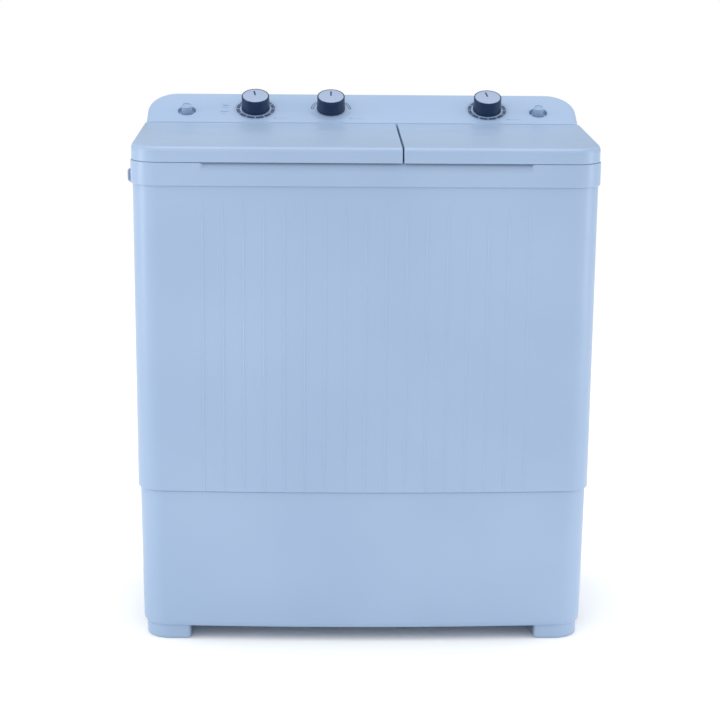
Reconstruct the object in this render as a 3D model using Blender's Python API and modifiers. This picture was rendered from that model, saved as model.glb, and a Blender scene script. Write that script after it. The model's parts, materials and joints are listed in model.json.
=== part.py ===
"""Twin tub washer: a wash tub with a pulsator on the left and a spin basket on the right.

The machine stands on z = 0 with its front towards -Y and the wash tub at -X. Sizes are in metres.
Every piece is placed from the middle of the cabinet, and the empty "washer" moves the whole along X
so that the bounding box, hose hook included, is centred on the origin.
"""

import math

import bmesh
import bpy
from mathutils import Matrix, Vector

GAP = 0.0004                    # clearance between two pieces that rest on or in each other
PLASTIC_WALL = 0.0025           # moulded shells
FRAME_WALL = 0.003              # top frame, base and platform

# Levels above the floor
BASE_BOTTOM = 0.0255
BASE_TOP = 0.2755
CABINET_BOTTOM = 0.276
BAND_BOTTOM = 0.812
DECK_TOP = 0.8515
LID_FRONT_TOP = 0.878
LID_REAR_TOP = 0.889
CABINET_RISE = 0.014            # the cabinet's rim reaches up inside the band
BASE_LIP = 0.010                # the base's rim reaches up inside the cabinet

# Plan of the outer shells
BAND_WIDTH = 0.805
BAND_DEPTH = 0.455
CABINET_BOTTOM_WIDTH = BAND_WIDTH - 0.0085
BASE_TOP_WIDTH = BAND_WIDTH - 0.0160
BASE_BOTTOM_WIDTH = BAND_WIDTH - 0.0220
BASE_SETBACK = 0.003            # base behind the cabinet, front and rear
CORNER_RADIUS = 0.050
FRONT_BOW = 0.011               # forward bow of the base's front and of the cabinet's bottom edge
BASE_LIP_INSET = 0.0015
BASE_EDGE_INSET = 0.0045
BASE_EDGE_HEIGHT = 0.012

# Feet
FOOT_SIZE = 0.080
FOOT_INSET = 0.005
FOOT_RADIUS = 0.045
FOOT_EDGE = 0.003

# Finger recess in the band's front
RECESS_LEFT = -0.283
RECESS_RIGHT = 0.285
RECESS_DEPTH = 0.006
RECESS_HEIGHT = 0.016
RECESS_END = 0.007

# Lids and their hinges
LID_GAP = 0.0006
LID_SETBACK = 0.00175           # lid sides inside the band
LID_SPLIT = 0.0615
LID_SPLIT_GAP = 0.0022
LID_FRONT_OVERHANG = 0.001
LID_REAR = 0.085
LID_SKIRT_END = 0.0765          # the side skirts stop here and rise to the short rear edge
LID_REAR_SKIRT = 0.0135
LID_FILLET = 0.010
LID_FRONT_INSET = 0.010
LID_SIDE_INSET = 0.0035
LID_SPLIT_INSET = 0.0012
LID_REAR_INSET = 0.007
LID_SMALL_CORNER = 0.0032
HINGE_SETBACK = 0.0075
HINGE_BARREL_RADIUS = 0.0065
BARREL_OUTER_END = 0.012         # the lid's barrel stops short of its rounded side
BARREL_SPLIT_END = 0.004
HINGE_PIN_RADIUS = 0.002
HINGE_PIN_REACH = 0.008
HINGE_EYE_RADIUS = 0.0044
HINGE_BLOCK_WIDTH = 0.012
HINGE_BLOCK_DEPTH = 0.006
HINGE_BLOCKS = {
    1: 0.030 - BAND_WIDTH / 2,
    2: LID_SPLIT - 0.0245,
    3: LID_SPLIT + 0.0255,
    4: BAND_WIDTH / 2 - 0.030,
}

# Control panel
PANEL_FRONT = 0.0885
PANEL_TOE = 0.0815              # the front wall's foot, under the lids' rear edges
PANEL_CREST = 0.1885            # rear edge of the sloping face
PANEL_REAR = 0.2262
PANEL_HALF_WIDTH = BAND_WIDTH / 2 - 0.0010
PANEL_CREST_HALF_WIDTH = PANEL_HALF_WIDTH - 0.0035
PANEL_TILT = math.radians(25.0)
PANEL_CORNER = 0.054
PANEL_FILLET = 0.008
DIAL_Y = 0.1336
DIALS = {"wash_timer": -0.1985, "drain_selector": -0.0585, "spin_timer": 0.2325}
INLET_Y = 0.125
INLETS = {"inlet_left": -0.3255, "inlet_right": 0.3275}

# Knobs
KNOB_RADIUS = 0.0255
KNOB_FOOT_RADIUS = 0.0265
KNOB_HEIGHT = 0.028
KNOB_LIFT = 0.0010
KNOB_RIM = 0.0015
KNOB_SHELL = 0.003
KNOB_CAP_THICKNESS = 0.0016
STEM_RADIUS = 0.003
STEM_HUB_RADIUS = 0.0085
STEM_DEPTH = 0.014              # below the panel's face
STEM_HOLE_RADIUS = 0.0055
TIMER_SIZE = 0.046
TIMER_HEIGHT = 0.030
TIMER_DROP = 0.0065             # top of the timer below the panel's face

# Water inlets
INLET_TUBE_RADIUS = 0.0100
INLET_BORE_RADIUS = 0.0080
INLET_CUP_RADIUS = 0.0165
INLET_FLANGE_RADIUS = 0.0195
INLET_CUP_DEPTH = 0.010
INLET_RISE = 0.012
INLET_TAIL = 0.072
HOSE_ENTRY_LEVEL = 0.800

# Wash tub
TUB_LEFT = 0.0505 - BAND_WIDTH / 2
TUB_RIGHT = 0.050
TUB_FRONT = -0.200
TUB_REAR = 0.172
TUB_CORNER = 0.030
TUB_FLOOR = 0.345
TUB_FLOOR_FILLET = 0.022
TUB_FLANGE = 0.008
WELL_DEPTH = 0.017
WELL_RADIUS = 0.150
PULSATOR_X = -0.151
PULSATOR_Y = -0.025
WASH_OPENING_INSET = 0.014
WASH_OPENING_REAR = 0.064
RIM_DROP = 0.0115               # rims of the deck's openings reach down into the tubs

# Wash drive
SHAFT_RADIUS = 0.006
BEARING_RADIUS = 0.018
BEARING_DROP = 0.013
PULSATOR_RADIUS = 0.142
PULSATOR_FINS = 3               # each runs right across
PULSATOR_LIFT = 0.0125          # underside above the floor of the well
PULSATOR_TOP = 0.044
SHAFT_TOP = 0.036
LARGE_PITCH_RADIUS = 0.076
SMALL_PITCH_RADIUS = 0.019
BELT_THICKNESS = 0.005
BELT_WIDTH = 0.008
BELT_LEVEL = 0.2980
PULLEY_HEIGHT = 0.014
PULLEY_FLANGE = 0.002
WASH_MOTOR_Y = 0.125
WASH_MOTOR_RADIUS = 0.055
WASH_MOTOR_HEIGHT = 0.112
WASH_MOTOR_TOP = 0.262
BRACKET_HALF_WIDTH = 0.070
BRACKET_FLANGE = 0.024
BRACKET_DEPTH = 0.100

# Spin side
SPIN_X = 0.225
SPIN_Y = -0.060
CASING_RADIUS = 0.1425
CASING_FLOOR = 0.3555
CASING_FLANGE = 0.0065
BASKET_RADIUS = 0.118
BASKET_WALL = 0.003
BASKET_FLOOR = 0.3855
BASKET_TOP = 0.716
BALANCE_RING_RADIUS = 0.1215
BALANCE_RING_HEIGHT = 0.024
SPIN_OPENING_RADIUS = 0.110
SAFETY_COVER_RADIUS = 0.117
SPIN_SHAFT_RADIUS = 0.008
SEAL_RADIUS = 0.029
DRUM_RADIUS = 0.050
DRUM_HEIGHT = 0.028
DRUM_BOTTOM = 0.222
SPIN_MOTOR_RADIUS = 0.0625
SPIN_MOTOR_BOTTOM = 0.0590
SPIN_MOTOR_TOP = 0.195
SPIN_MOTOR_FLANGE_RADIUS = 0.098
MOUNT_RADIUS = 0.014
MOUNT_CIRCLE = 0.082
BRAKE_CLEARANCE = 0.003
BRAKE_ARM_THICKNESS = 0.010
BRAKE_PIVOT_X = 0.160
BRAKE_ARM_END = 0.285
BRAKE_POST_RADIUS = 0.005
PLATFORM_SPIN_HOLE_RADIUS = 0.045

# Drain
DRAIN_X = 0.002
DRAIN_Y = 0.110
DRAIN_HOLE_RADIUS = 0.014
VALVE_RADIUS = 0.022
VALVE_BOTTOM = 0.262
VALVE_SEAT = 0.292
VALVE_HOLE_CLEARANCE = 0.003
HOSE_RADIUS = 0.0105
HOSE_WALL = 0.002
HOSE_OUT = 0.009                # how far the hose's end stands out behind the base
HOSE_OUT_LEVEL = 0.070

# Rear cover
COVER_HALF_WIDTH = 0.300
COVER_BOTTOM = 0.332
COVER_TOP = 0.756
COVER_OVERLAP = 0.020
SCREW_INSET = 0.010
SCREW_RADIUS = 0.002
VENT_WIDTH = 0.100
VENT_HEIGHT = 0.005
VENT_PITCH = 0.013
VENT_ROWS = 7

# Hose hook on the left side
HOOK_REACH = 0.0215             # beyond the band
HOOK_TOP = 0.813
HOOK_BOTTOM = 0.7905
HOOK_THICKNESS = 0.005
HOOK_WIDTH = 0.022
HOOK_Y = -0.002

# Cord gland in the rear wall of the base
GLAND_X = -0.250
GLAND_LEVEL = 0.200
GLAND_RADIUS = 0.008

CORNER_STEPS = 4
FRONT_STEPS = 8
ROUND_STEPS = 20
SMALL_ROUND_STEPS = 12
HINGE_STEPS = 16

FINISHES = {
    "blue_plastic": ("#94AAC7", 0.30, 0.0),
    "pale_plastic": ("#91A2BC", 0.32, 0.0),
    "navy_plastic": ("#10294A", 0.28, 0.0),
    "white_plastic": ("#DDE3EA", 0.40, 0.0),
    "grey_plastic": ("#8E979F", 0.45, 0.0),
    "black_rubber": ("#1B1C1E", 0.75, 0.0),
    "zinc_steel": ("#A9ADB2", 0.38, 1.0),
    "painted_steel": ("#4B5055", 0.45, 0.0),
    "stainless": ("#C4C7CA", 0.25, 1.0),
    "cast_alloy": ("#9A9C9E", 0.45, 1.0),
}


def clear_scene():
    for item in list(bpy.data.objects):
        bpy.data.objects.remove(item, do_unlink=True)


def new_collection(name):
    made = bpy.data.collections.new(name)
    bpy.context.scene.collection.children.link(made)
    return made


def linear(hex_colour):
    """The linear RGBA value of an sRGB hex colour."""
    channels = [int(hex_colour[place:place + 2], 16) / 255 for place in (1, 3, 5)]
    return [c / 12.92 if c <= 0.04045 else ((c + 0.055) / 1.055) ** 2.4 for c in channels] + [1.0]


def new_material(name):
    hex_colour, roughness, metallic = FINISHES[name]
    made = bpy.data.materials.new(name)
    made.use_nodes = True
    surface = made.node_tree.nodes["Principled BSDF"]
    surface.inputs["Base Color"].default_value = linear(hex_colour)
    surface.inputs["Roughness"].default_value = roughness
    surface.inputs["Metallic"].default_value = metallic
    made.diffuse_color = linear(hex_colour)
    return made


clear_scene()
PIECES = new_collection("twin_tub_washer")
CUTTERS = new_collection("cutters")
MATERIALS = {name: new_material(name) for name in FINISHES}
WASHER = bpy.data.objects.new("washer", None)
WASHER.location.x = HOOK_REACH / 2
PIECES.objects.link(WASHER)


# Making and cutting pieces

def add_object(name, data, centre, rotation, collection):
    made = bpy.data.objects.new(name, data)
    made.location = centre
    made.rotation_euler = rotation
    made.parent = WASHER
    collection.objects.link(made)
    return made


def add_piece(name, shape, finish, centre=(0, 0, 0), rotation=(0, 0, 0)):
    """A named piece from a bmesh, with its own finish."""
    face_one_way(shape)
    mesh = bpy.data.meshes.new(name)
    shape.to_mesh(mesh)
    shape.free()
    mesh.materials.append(MATERIALS[finish])
    if mesh.polygons:
        mesh.shade_smooth()
        mesh.set_sharp_from_angle(angle=math.radians(35))
    return add_object(name, mesh, centre, rotation, PIECES)


def face_one_way(shape):
    """Turns all faces the way a closed shape needs, or on an open one the way of its first face."""
    if not shape.faces:
        return
    shape.faces.ensure_lookup_table()
    shape.normal_update()
    first = shape.faces[0]
    kept = first.normal.copy()
    bmesh.ops.recalc_face_normals(shape, faces=shape.faces)
    is_open = any(edge.is_boundary for edge in shape.edges)
    if is_open and first.normal.dot(kept) < 0:
        bmesh.ops.reverse_faces(shape, faces=shape.faces)


def box_shape(size):
    shape = bmesh.new()
    bmesh.ops.create_cube(shape, size=1.0)
    bmesh.ops.scale(shape, vec=size, verts=shape.verts)
    return shape


def rod_shape(radius, length, steps=SMALL_ROUND_STEPS):
    shape = bmesh.new()
    bmesh.ops.create_cone(
        shape, cap_ends=True, segments=steps, radius1=radius, radius2=radius, depth=length)
    return shape


def box(name, size, centre, finish, bevel=0.0, rotation=(0, 0, 0)):
    piece = add_piece(name, box_shape(size), finish, centre, rotation)
    if bevel:
        round_edges(piece, bevel)
    return piece


def round_edges(piece, width):
    bevel = piece.modifiers.new("Rounded edges", "BEVEL")
    bevel.width = width
    bevel.segments = 2
    bevel.limit_method = "ANGLE"


def turned(name, profile, centre, finish, steps=ROUND_STEPS, ring=False, rotation=(0, 0, 0)):
    """A round piece from (radius, height) points, which run outwards and then down the outer side.

    A ring's profile is a closed loop; any other starts and ends on the axis.
    """
    shape = bmesh.new()
    corners = [shape.verts.new((radius, 0, height)) for radius, height in profile]
    following = corners[1:] + (corners[:1] if ring else [])
    for first, second in zip(corners, following):
        shape.edges.new((first, second))
    piece = add_piece(name, shape, finish, centre, rotation)
    screw = piece.modifiers.new("Turned", "SCREW")
    screw.steps = steps
    screw.render_steps = steps
    screw.use_merge_vertices = True
    screw.merge_threshold = 0.00001
    return piece


def solidify(piece, thickness, outward=False):
    solid = piece.modifiers.new("Wall", "SOLIDIFY")
    solid.thickness = thickness
    solid.offset = 1.0 if outward else -1.0
    solid.use_even_offset = True
    return piece


def boolean(piece, other, operation="DIFFERENCE"):
    step = piece.modifiers.new(operation.title(), "BOOLEAN")
    step.operation = operation
    step.solver = "EXACT"
    step.object = other


def helper(name, shape, centre=(0, 0, 0), rotation=(0, 0, 0)):
    """A closed shape that only cuts or joins, and isn't part of the machine."""
    bmesh.ops.recalc_face_normals(shape, faces=shape.faces)
    mesh = bpy.data.meshes.new(name)
    shape.to_mesh(mesh)
    shape.free()
    made = add_object(name, mesh, centre, rotation, CUTTERS)
    made.hide_render = True
    made.display_type = "WIRE"
    return made


def bore(piece, radius, length, centre, rotation=(0, 0, 0), steps=SMALL_ROUND_STEPS):
    shape = rod_shape(radius, length, steps)
    boolean(piece, helper(piece.name + "_bore", shape, centre, rotation))


def tube(name, points, radius, wall, finish):
    """An open hose along the points."""
    curve = bpy.data.curves.new(name, "CURVE")
    curve.dimensions = "3D"
    curve.bevel_depth = radius
    curve.bevel_resolution = 2
    spline = curve.splines.new("POLY")
    spline.points.add(len(points) - 1)
    for place, point in zip(spline.points, points):
        place.co = (*point, 1.0)
    curve.materials.append(MATERIALS[finish])
    return solidify(add_object(name, curve, (0, 0, 0), (0, 0, 0), PIECES), wall)


def bezier(start, first_pull, second_pull, end, steps=12):
    """Points along one cubic curve."""
    points = []
    for step in range(steps + 1):
        t = step / steps
        weights = ((1 - t) ** 3, 3 * t * (1 - t) ** 2, 3 * t ** 2 * (1 - t), t ** 3)
        corners = (start, first_pull, second_pull, end)
        points.append(tuple(sum(w * c[axis] for w, c in zip(weights, corners)) for axis in range(3)))
    return points


# Outlines in plan, counterclockwise from the left end of the front edge

def rounded_rectangle(left, right, front, rear, radii, bow=0.0, stations=()):
    """Radii are front left, front right, rear right and rear left."""
    front_left, front_right, rear_right, rear_left = radii
    start, end = left + front_left, right - front_right
    even = [start + (end - start) * step / FRONT_STEPS for step in range(FRONT_STEPS + 1)]
    middle, half = (start + end) / 2, (end - start) / 2
    edge = sorted(set(even if bow else [start, end]) | set(stations))
    outline = [(x, front - bow * (1 - ((x - middle) / half) ** 2)) for x in edge]
    corners = (
        (right - front_right, front + front_right, front_right, -90),
        (right - rear_right, rear - rear_right, rear_right, 0),
        (left + rear_left, rear - rear_left, rear_left, 90),
        (left + front_left, front + front_left, front_left, 180),
    )
    for number, (x, y, radius, first_angle) in enumerate(corners):
        for step in range(CORNER_STEPS + 1):
            on_front = (number == 0 and step == 0) or (number == 3 and step == CORNER_STEPS)
            if on_front:
                continue
            angle = math.radians(first_angle + 90 * step / CORNER_STEPS)
            outline.append((x + radius * math.cos(angle), y + radius * math.sin(angle)))
    return outline


def circle(x, y, radius, steps=ROUND_STEPS):
    angles = [2 * math.pi * step / steps for step in range(steps)]
    return [(x + radius * math.cos(a), y + radius * math.sin(a)) for a in angles]


def band_outline(inset=0.0, stations=()):
    half_width, half_depth = BAND_WIDTH / 2 - inset, BAND_DEPTH / 2 - inset
    radii = [CORNER_RADIUS - inset] * 4
    return rounded_rectangle(-half_width, half_width, -half_depth, half_depth, radii, 0.0, stations)


def cabinet_half_depth():
    return BAND_DEPTH / 2 - FRAME_WALL - GAP


def cabinet_outline(level, inset=0.0):
    """The cabinet tapers from the band down to its bottom edge, where its front is bowed."""
    share = (level - CABINET_BOTTOM) / (BAND_BOTTOM - CABINET_BOTTOM)
    top_half_width = BAND_WIDTH / 2 - FRAME_WALL - GAP
    half_width = CABINET_BOTTOM_WIDTH / 2 + share * (top_half_width - CABINET_BOTTOM_WIDTH / 2)
    half_width = min(half_width, top_half_width) - inset
    half_depth = cabinet_half_depth() - inset
    bow = FRONT_BOW * max(0.0, 1 - share) + 0.00001
    radii = [CORNER_RADIUS - FRAME_WALL - inset] * 4
    return rounded_rectangle(-half_width, half_width, -half_depth, half_depth, radii, bow)


def base_outline(level, inset=0.0):
    share = (level - BASE_BOTTOM) / (BASE_TOP - BASE_BOTTOM)
    half_width = (BASE_BOTTOM_WIDTH + share * (BASE_TOP_WIDTH - BASE_BOTTOM_WIDTH)) / 2 - inset
    half_depth = cabinet_half_depth() - BASE_SETBACK - inset
    radii = [CORNER_RADIUS - FRAME_WALL - inset] * 4
    return rounded_rectangle(-half_width, half_width, -half_depth, half_depth, radii, FRONT_BOW)


# Surfaces between outlines

def ring(shape, outline, level):
    """One closed row of vertices; the level is a number or a function of x and y."""
    height = level if callable(level) else lambda x, y: level
    return [shape.verts.new((x, y, height(x, y))) for x, y in outline]


def skin(shape, rows):
    """Faces between rows of the same number of vertices."""
    for lower, upper in zip(rows, rows[1:]):
        for index, corner in enumerate(lower):
            following = (index + 1) % len(lower)
            shape.faces.new((corner, lower[following], upper[following], upper[index]))


def row_edges(shape, row):
    pairs = zip(row, row[1:] + row[:1])
    return [shape.edges.get(pair) or shape.edges.new(pair) for pair in pairs]


def fill(shape, outer, holes=()):
    """A face inside the outer row, around the holes."""
    edges = [edge for row in (outer, *holes) for edge in row_edges(shape, row)]
    bmesh.ops.triangle_fill(shape, use_beauty=True, use_dissolve=False, edges=edges)


def rimmed_holes(shape, outlines, level, drop):
    """Rows for holes at a level, each with a rim that drops below it."""
    holes = []
    for outline in outlines:
        upper = ring(shape, outline, level)
        lower = ring(shape, outline, level - drop)
        skin(shape, [upper, lower])
        holes.append(upper)
    return holes


# Base, feet and cabinet

def base():
    shape = bmesh.new()
    edge = BASE_BOTTOM + BASE_EDGE_HEIGHT
    lip = base_outline(BASE_TOP, BASE_LIP_INSET)
    rows = [
        ring(shape, base_outline(BASE_BOTTOM, BASE_EDGE_INSET), BASE_BOTTOM),
        ring(shape, base_outline(edge, BASE_EDGE_INSET / 4), BASE_BOTTOM + BASE_EDGE_HEIGHT / 3),
        ring(shape, base_outline(edge), edge),
        ring(shape, base_outline(BASE_TOP), BASE_TOP),
        ring(shape, lip, BASE_TOP),
        ring(shape, lip, BASE_TOP + BASE_LIP),
    ]
    skin(shape, rows)
    fill(shape, rows[0])
    piece = solidify(add_piece("base", shape, "blue_plastic"), FRAME_WALL)
    rear = cabinet_half_depth() - BASE_SETBACK
    sideways = (math.pi / 2, 0, 0)
    bore(piece, HOSE_RADIUS + GAP, 0.03, (DRAIN_X, rear, HOSE_OUT_LEVEL), sideways)
    bore(piece, GLAND_RADIUS + GAP, 0.03, (GLAND_X, rear, GLAND_LEVEL), sideways)


def foot(name, side, end):
    """side is -1 left or 1 right, end is -1 front or 1 rear."""
    outer_x = side * (BASE_BOTTOM_WIDTH / 2 - FOOT_INSET)
    outer_y = end * (cabinet_half_depth() - BASE_SETBACK - FOOT_INSET)
    xs = sorted((outer_x, outer_x - side * FOOT_SIZE))
    ys = sorted((outer_y, outer_y - end * FOOT_SIZE))
    corners = ((-1, -1), (1, -1), (1, 1), (-1, 1))
    radii = [FOOT_RADIUS if corner == (side, end) else 0.006 for corner in corners]
    shape = bmesh.new()

    def row(level, inset):
        limits = (xs[0] + inset, xs[1] - inset, ys[0] + inset, ys[1] - inset)
        return ring(shape, rounded_rectangle(*limits, [radius - inset for radius in radii]), level)

    rows = [row(0.0, FOOT_EDGE), row(FOOT_EDGE, 0.0), row(BASE_BOTTOM - GAP, 0.0)]
    skin(shape, rows)
    shape.faces.new(rows[0])
    shape.faces.new(rows[-1])
    add_piece(name, shape, "blue_plastic")


def screw_places():
    x = COVER_HALF_WIDTH - SCREW_INSET
    return [(x * side, level) for side in (-1, 1)
            for level in (COVER_BOTTOM + SCREW_INSET, COVER_TOP - SCREW_INSET)]


def cover_y():
    return cabinet_half_depth() + GAP + PLASTIC_WALL / 2


def cabinet():
    shape = bmesh.new()
    levels = (CABINET_BOTTOM, BAND_BOTTOM, BAND_BOTTOM + CABINET_RISE)
    rows = [ring(shape, cabinet_outline(level), level) for level in levels]
    skin(shape, rows)
    piece = solidify(add_piece("cabinet", shape, "blue_plastic"), PLASTIC_WALL)
    size = (2 * (COVER_HALF_WIDTH - COVER_OVERLAP), 0.04, COVER_TOP - COVER_BOTTOM - 2 * COVER_OVERLAP)
    middle = (0, cabinet_half_depth(), (COVER_BOTTOM + COVER_TOP) / 2)
    boolean(piece, helper("rear_opening", box_shape(size), middle))
    screw_holes(piece)


def screw_holes(piece):
    for x, level in screw_places():
        centre = (x, cabinet_half_depth(), level)
        bore(piece, SCREW_RADIUS + GAP, 0.03, centre, (math.pi / 2, 0, 0), 8)


def rear_cover():
    size = (2 * COVER_HALF_WIDTH, PLASTIC_WALL, COVER_TOP - COVER_BOTTOM)
    middle = (0, cover_y(), (COVER_BOTTOM + COVER_TOP) / 2)
    piece = box("rear_cover", size, middle, "white_plastic")
    screw_holes(piece)
    slots = bmesh.new()
    for x in (-0.150, 0.150):
        for row in range(VENT_ROWS):
            made = bmesh.ops.create_cube(slots, size=1.0)["verts"]
            bmesh.ops.scale(slots, vec=(VENT_WIDTH, 0.02, VENT_HEIGHT), verts=made)
            level = COVER_BOTTOM + 0.060 + row * VENT_PITCH
            bmesh.ops.translate(slots, vec=(x, cover_y(), level), verts=made)
    boolean(piece, helper("vent_slots", slots))


def cover_screws():
    face = cover_y() + PLASTIC_WALL / 2 + GAP
    profile = [(0, 0.0022), (0.0025, 0.0020), (0.004, 0.0008), (0.004, 0), (SCREW_RADIUS, 0),
               (SCREW_RADIUS, -0.010), (0, -0.010)]
    for number, (x, level) in enumerate(screw_places(), 1):
        turned(f"rear_cover_screw_{number}", profile, (x, face, level), "zinc_steel", 8,
               rotation=(-math.pi / 2, 0, 0))


# Top frame, lids and hinges

def frame_recess(x, y):
    """The front wall leans back to the finger recess between its ends."""
    reach = min(x - RECESS_LEFT, RECESS_RIGHT - x) / RECESS_END
    return (x, y + RECESS_DEPTH * max(0.0, min(1.0, reach))) if y < 0 else (x, y)


def deck_openings():
    inset = WASH_OPENING_INSET
    limits = (TUB_LEFT + inset, TUB_RIGHT - inset, TUB_FRONT + inset, WASH_OPENING_REAR)
    wash = rounded_rectangle(*limits, [TUB_CORNER] * 4)
    return [wash, circle(SPIN_X, SPIN_Y, SPIN_OPENING_RADIUS)]


def inlet_deck_y():
    """Where an inlet's tail passes the deck."""
    fall = (panel_height(INLET_Y) - DECK_TOP + FRAME_WALL / 2) * math.tan(PANEL_TILT)
    return INLET_Y + fall


def top_frame():
    shape = bmesh.new()
    stations = (RECESS_LEFT, RECESS_LEFT + RECESS_END, RECESS_RIGHT - RECESS_END, RECESS_RIGHT)
    outline = band_outline(stations=stations)
    recessed = [frame_recess(x, y) for x, y in outline]
    rows = [ring(shape, outline, BAND_BOTTOM), ring(shape, outline, DECK_TOP - RECESS_HEIGHT),
            ring(shape, recessed, DECK_TOP)]
    skin(shape, rows)
    holes = rimmed_holes(shape, deck_openings(), DECK_TOP, RIM_DROP)
    small = [circle(x, inlet_deck_y(), INLET_TUBE_RADIUS + 0.004, SMALL_ROUND_STEPS) for x in INLETS.values()]
    small.append(circle(LID_SPLIT, 0.150, 0.010, SMALL_ROUND_STEPS))
    holes += [ring(shape, outline, DECK_TOP) for outline in small]
    fill(shape, rows[-1], holes)
    solidify(add_piece("top_frame", shape, "blue_plastic"), FRAME_WALL)


def hinge_centre(x=0.0):
    return (x, LID_REAR - HINGE_SETBACK, LID_REAR_TOP - HINGE_SETBACK)


def lid_top(y):
    front = -BAND_DEPTH / 2 - LID_FRONT_OVERHANG
    return LID_FRONT_TOP + (LID_REAR_TOP - LID_FRONT_TOP) * (y - front) / (LID_REAR - front)


def lid_bottom(x, y):
    return DECK_TOP + LID_GAP if y < LID_SKIRT_END - 0.002 else LID_REAR_TOP - LID_REAR_SKIRT


def lid_row(shape, side, share, level, wall=0.0):
    """side is -1 for the wash lid and 1 for the spin lid; share grows over the top fillet."""
    outer = side * (BAND_WIDTH / 2 - LID_SETBACK - share * LID_SIDE_INSET - wall)
    inner = LID_SPLIT + side * (LID_SPLIT_GAP / 2 + share * LID_SPLIT_INSET + wall)
    left, right = sorted((outer, inner))
    front = -BAND_DEPTH / 2 - LID_FRONT_OVERHANG + share * LID_FRONT_INSET + wall
    rear = LID_REAR - share * LID_REAR_INSET - wall
    corner = CORNER_RADIUS - share * LID_SIDE_INSET - wall
    small = LID_SMALL_CORNER - wall
    radii = (corner, small, small, small) if side < 0 else (small, corner, small, small)
    outline = rounded_rectangle(left, right, front, rear, radii)
    return ring(shape, with_skirt_points(outline, left, right), level)


def with_skirt_points(outline, left, right):
    """Adds a pair of points on each side edge, where the skirt rises to the rear edge."""
    steps = CORNER_STEPS
    right_edge = 2 + steps
    left_edge = 2 + steps + 2 * (steps + 1)
    pair = (LID_SKIRT_END - 0.004, LID_SKIRT_END)
    return (outline[:right_edge] + [(right, y) for y in pair] + outline[right_edge:left_edge]
            + [(left, y) for y in reversed(pair)] + outline[left_edge:])


def lid(name, side, blocks):
    shape = bmesh.new()

    def below_top(drop):
        return lambda x, y: lid_top(y) - drop

    rows = [lid_row(shape, side, 1.0, below_top(PLASTIC_WALL), PLASTIC_WALL),
            lid_row(shape, side, 0.0, below_top(LID_FILLET), PLASTIC_WALL),
            lid_row(shape, side, 0.0, lid_bottom, PLASTIC_WALL),
            lid_row(shape, side, 0.0, lid_bottom)]
    for step in range(4):
        angle = math.radians(30 * step)
        rows.append(lid_row(shape, side, 1 - math.cos(angle), below_top(LID_FILLET * (1 - math.sin(angle)))))
    skin(shape, rows)
    fill(shape, rows[0])
    fill(shape, rows[-1])
    piece = add_piece(name, shape, "blue_plastic")
    outer = side * (BAND_WIDTH / 2 - LID_SETBACK - BARREL_OUTER_END)
    inner = LID_SPLIT + side * (LID_SPLIT_GAP / 2 + BARREL_SPLIT_END)
    length = abs(outer - inner)
    across = (0, math.pi / 2, 0)
    middle = hinge_centre((outer + inner) / 2)
    barrel = rod_shape(HINGE_BARREL_RADIUS, length, HINGE_STEPS)
    boolean(piece, helper(name + "_barrel", barrel, middle, across), "UNION")
    for number in blocks:
        pocket_for_block(piece, HINGE_BLOCKS[number])
        pin_length = HINGE_BLOCK_WIDTH + 2 * HINGE_PIN_REACH + 0.001
        bore(piece, HINGE_PIN_RADIUS + GAP, pin_length, hinge_centre(HINGE_BLOCKS[number]), across)


def pocket_for_block(piece, x):
    """The lid's hollow round a hinge block, open below and behind."""
    low, high = -0.014, HINGE_EYE_RADIUS + GAP
    front, rear = -HINGE_EYE_RADIUS - 2 * GAP, 0.014
    size = (HINGE_BLOCK_WIDTH + 4 * GAP, rear - front, high - low)
    axis = hinge_centre(x)
    centre = (x, axis[1] + (front + rear) / 2, axis[2] + (low + high) / 2)
    boolean(piece, helper(piece.name + "_pocket", box_shape(size), centre))


def hinge_block(number, x):
    axis = hinge_centre(x)
    foot_level = DECK_TOP + GAP
    size = (HINGE_BLOCK_WIDTH, HINGE_BLOCK_DEPTH, axis[2] - foot_level)
    centre = (x, axis[1], (axis[2] + foot_level) / 2)
    piece = box(f"lid_hinge_block_{number}", size, centre, "blue_plastic")
    across = (0, math.pi / 2, 0)
    eye = rod_shape(HINGE_EYE_RADIUS, HINGE_BLOCK_WIDTH - 2 * GAP, HINGE_STEPS)
    pin = rod_shape(HINGE_PIN_RADIUS, HINGE_BLOCK_WIDTH + 2 * HINGE_PIN_REACH)
    boolean(piece, helper(f"hinge_eye_{number}", eye, axis, across), "UNION")
    boolean(piece, helper(f"hinge_pin_{number}", pin, axis, across), "UNION")


# Control panel, knobs, timers and inlets

def panel_height(y):
    return LID_REAR_TOP + (y - PANEL_FRONT) * math.tan(PANEL_TILT)


def on_panel(x, y, lift=0.0):
    """A point at a lift above the sloping face, along its normal."""
    return (x, y - lift * math.sin(PANEL_TILT), panel_height(y) + lift * math.cos(PANEL_TILT))


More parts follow.
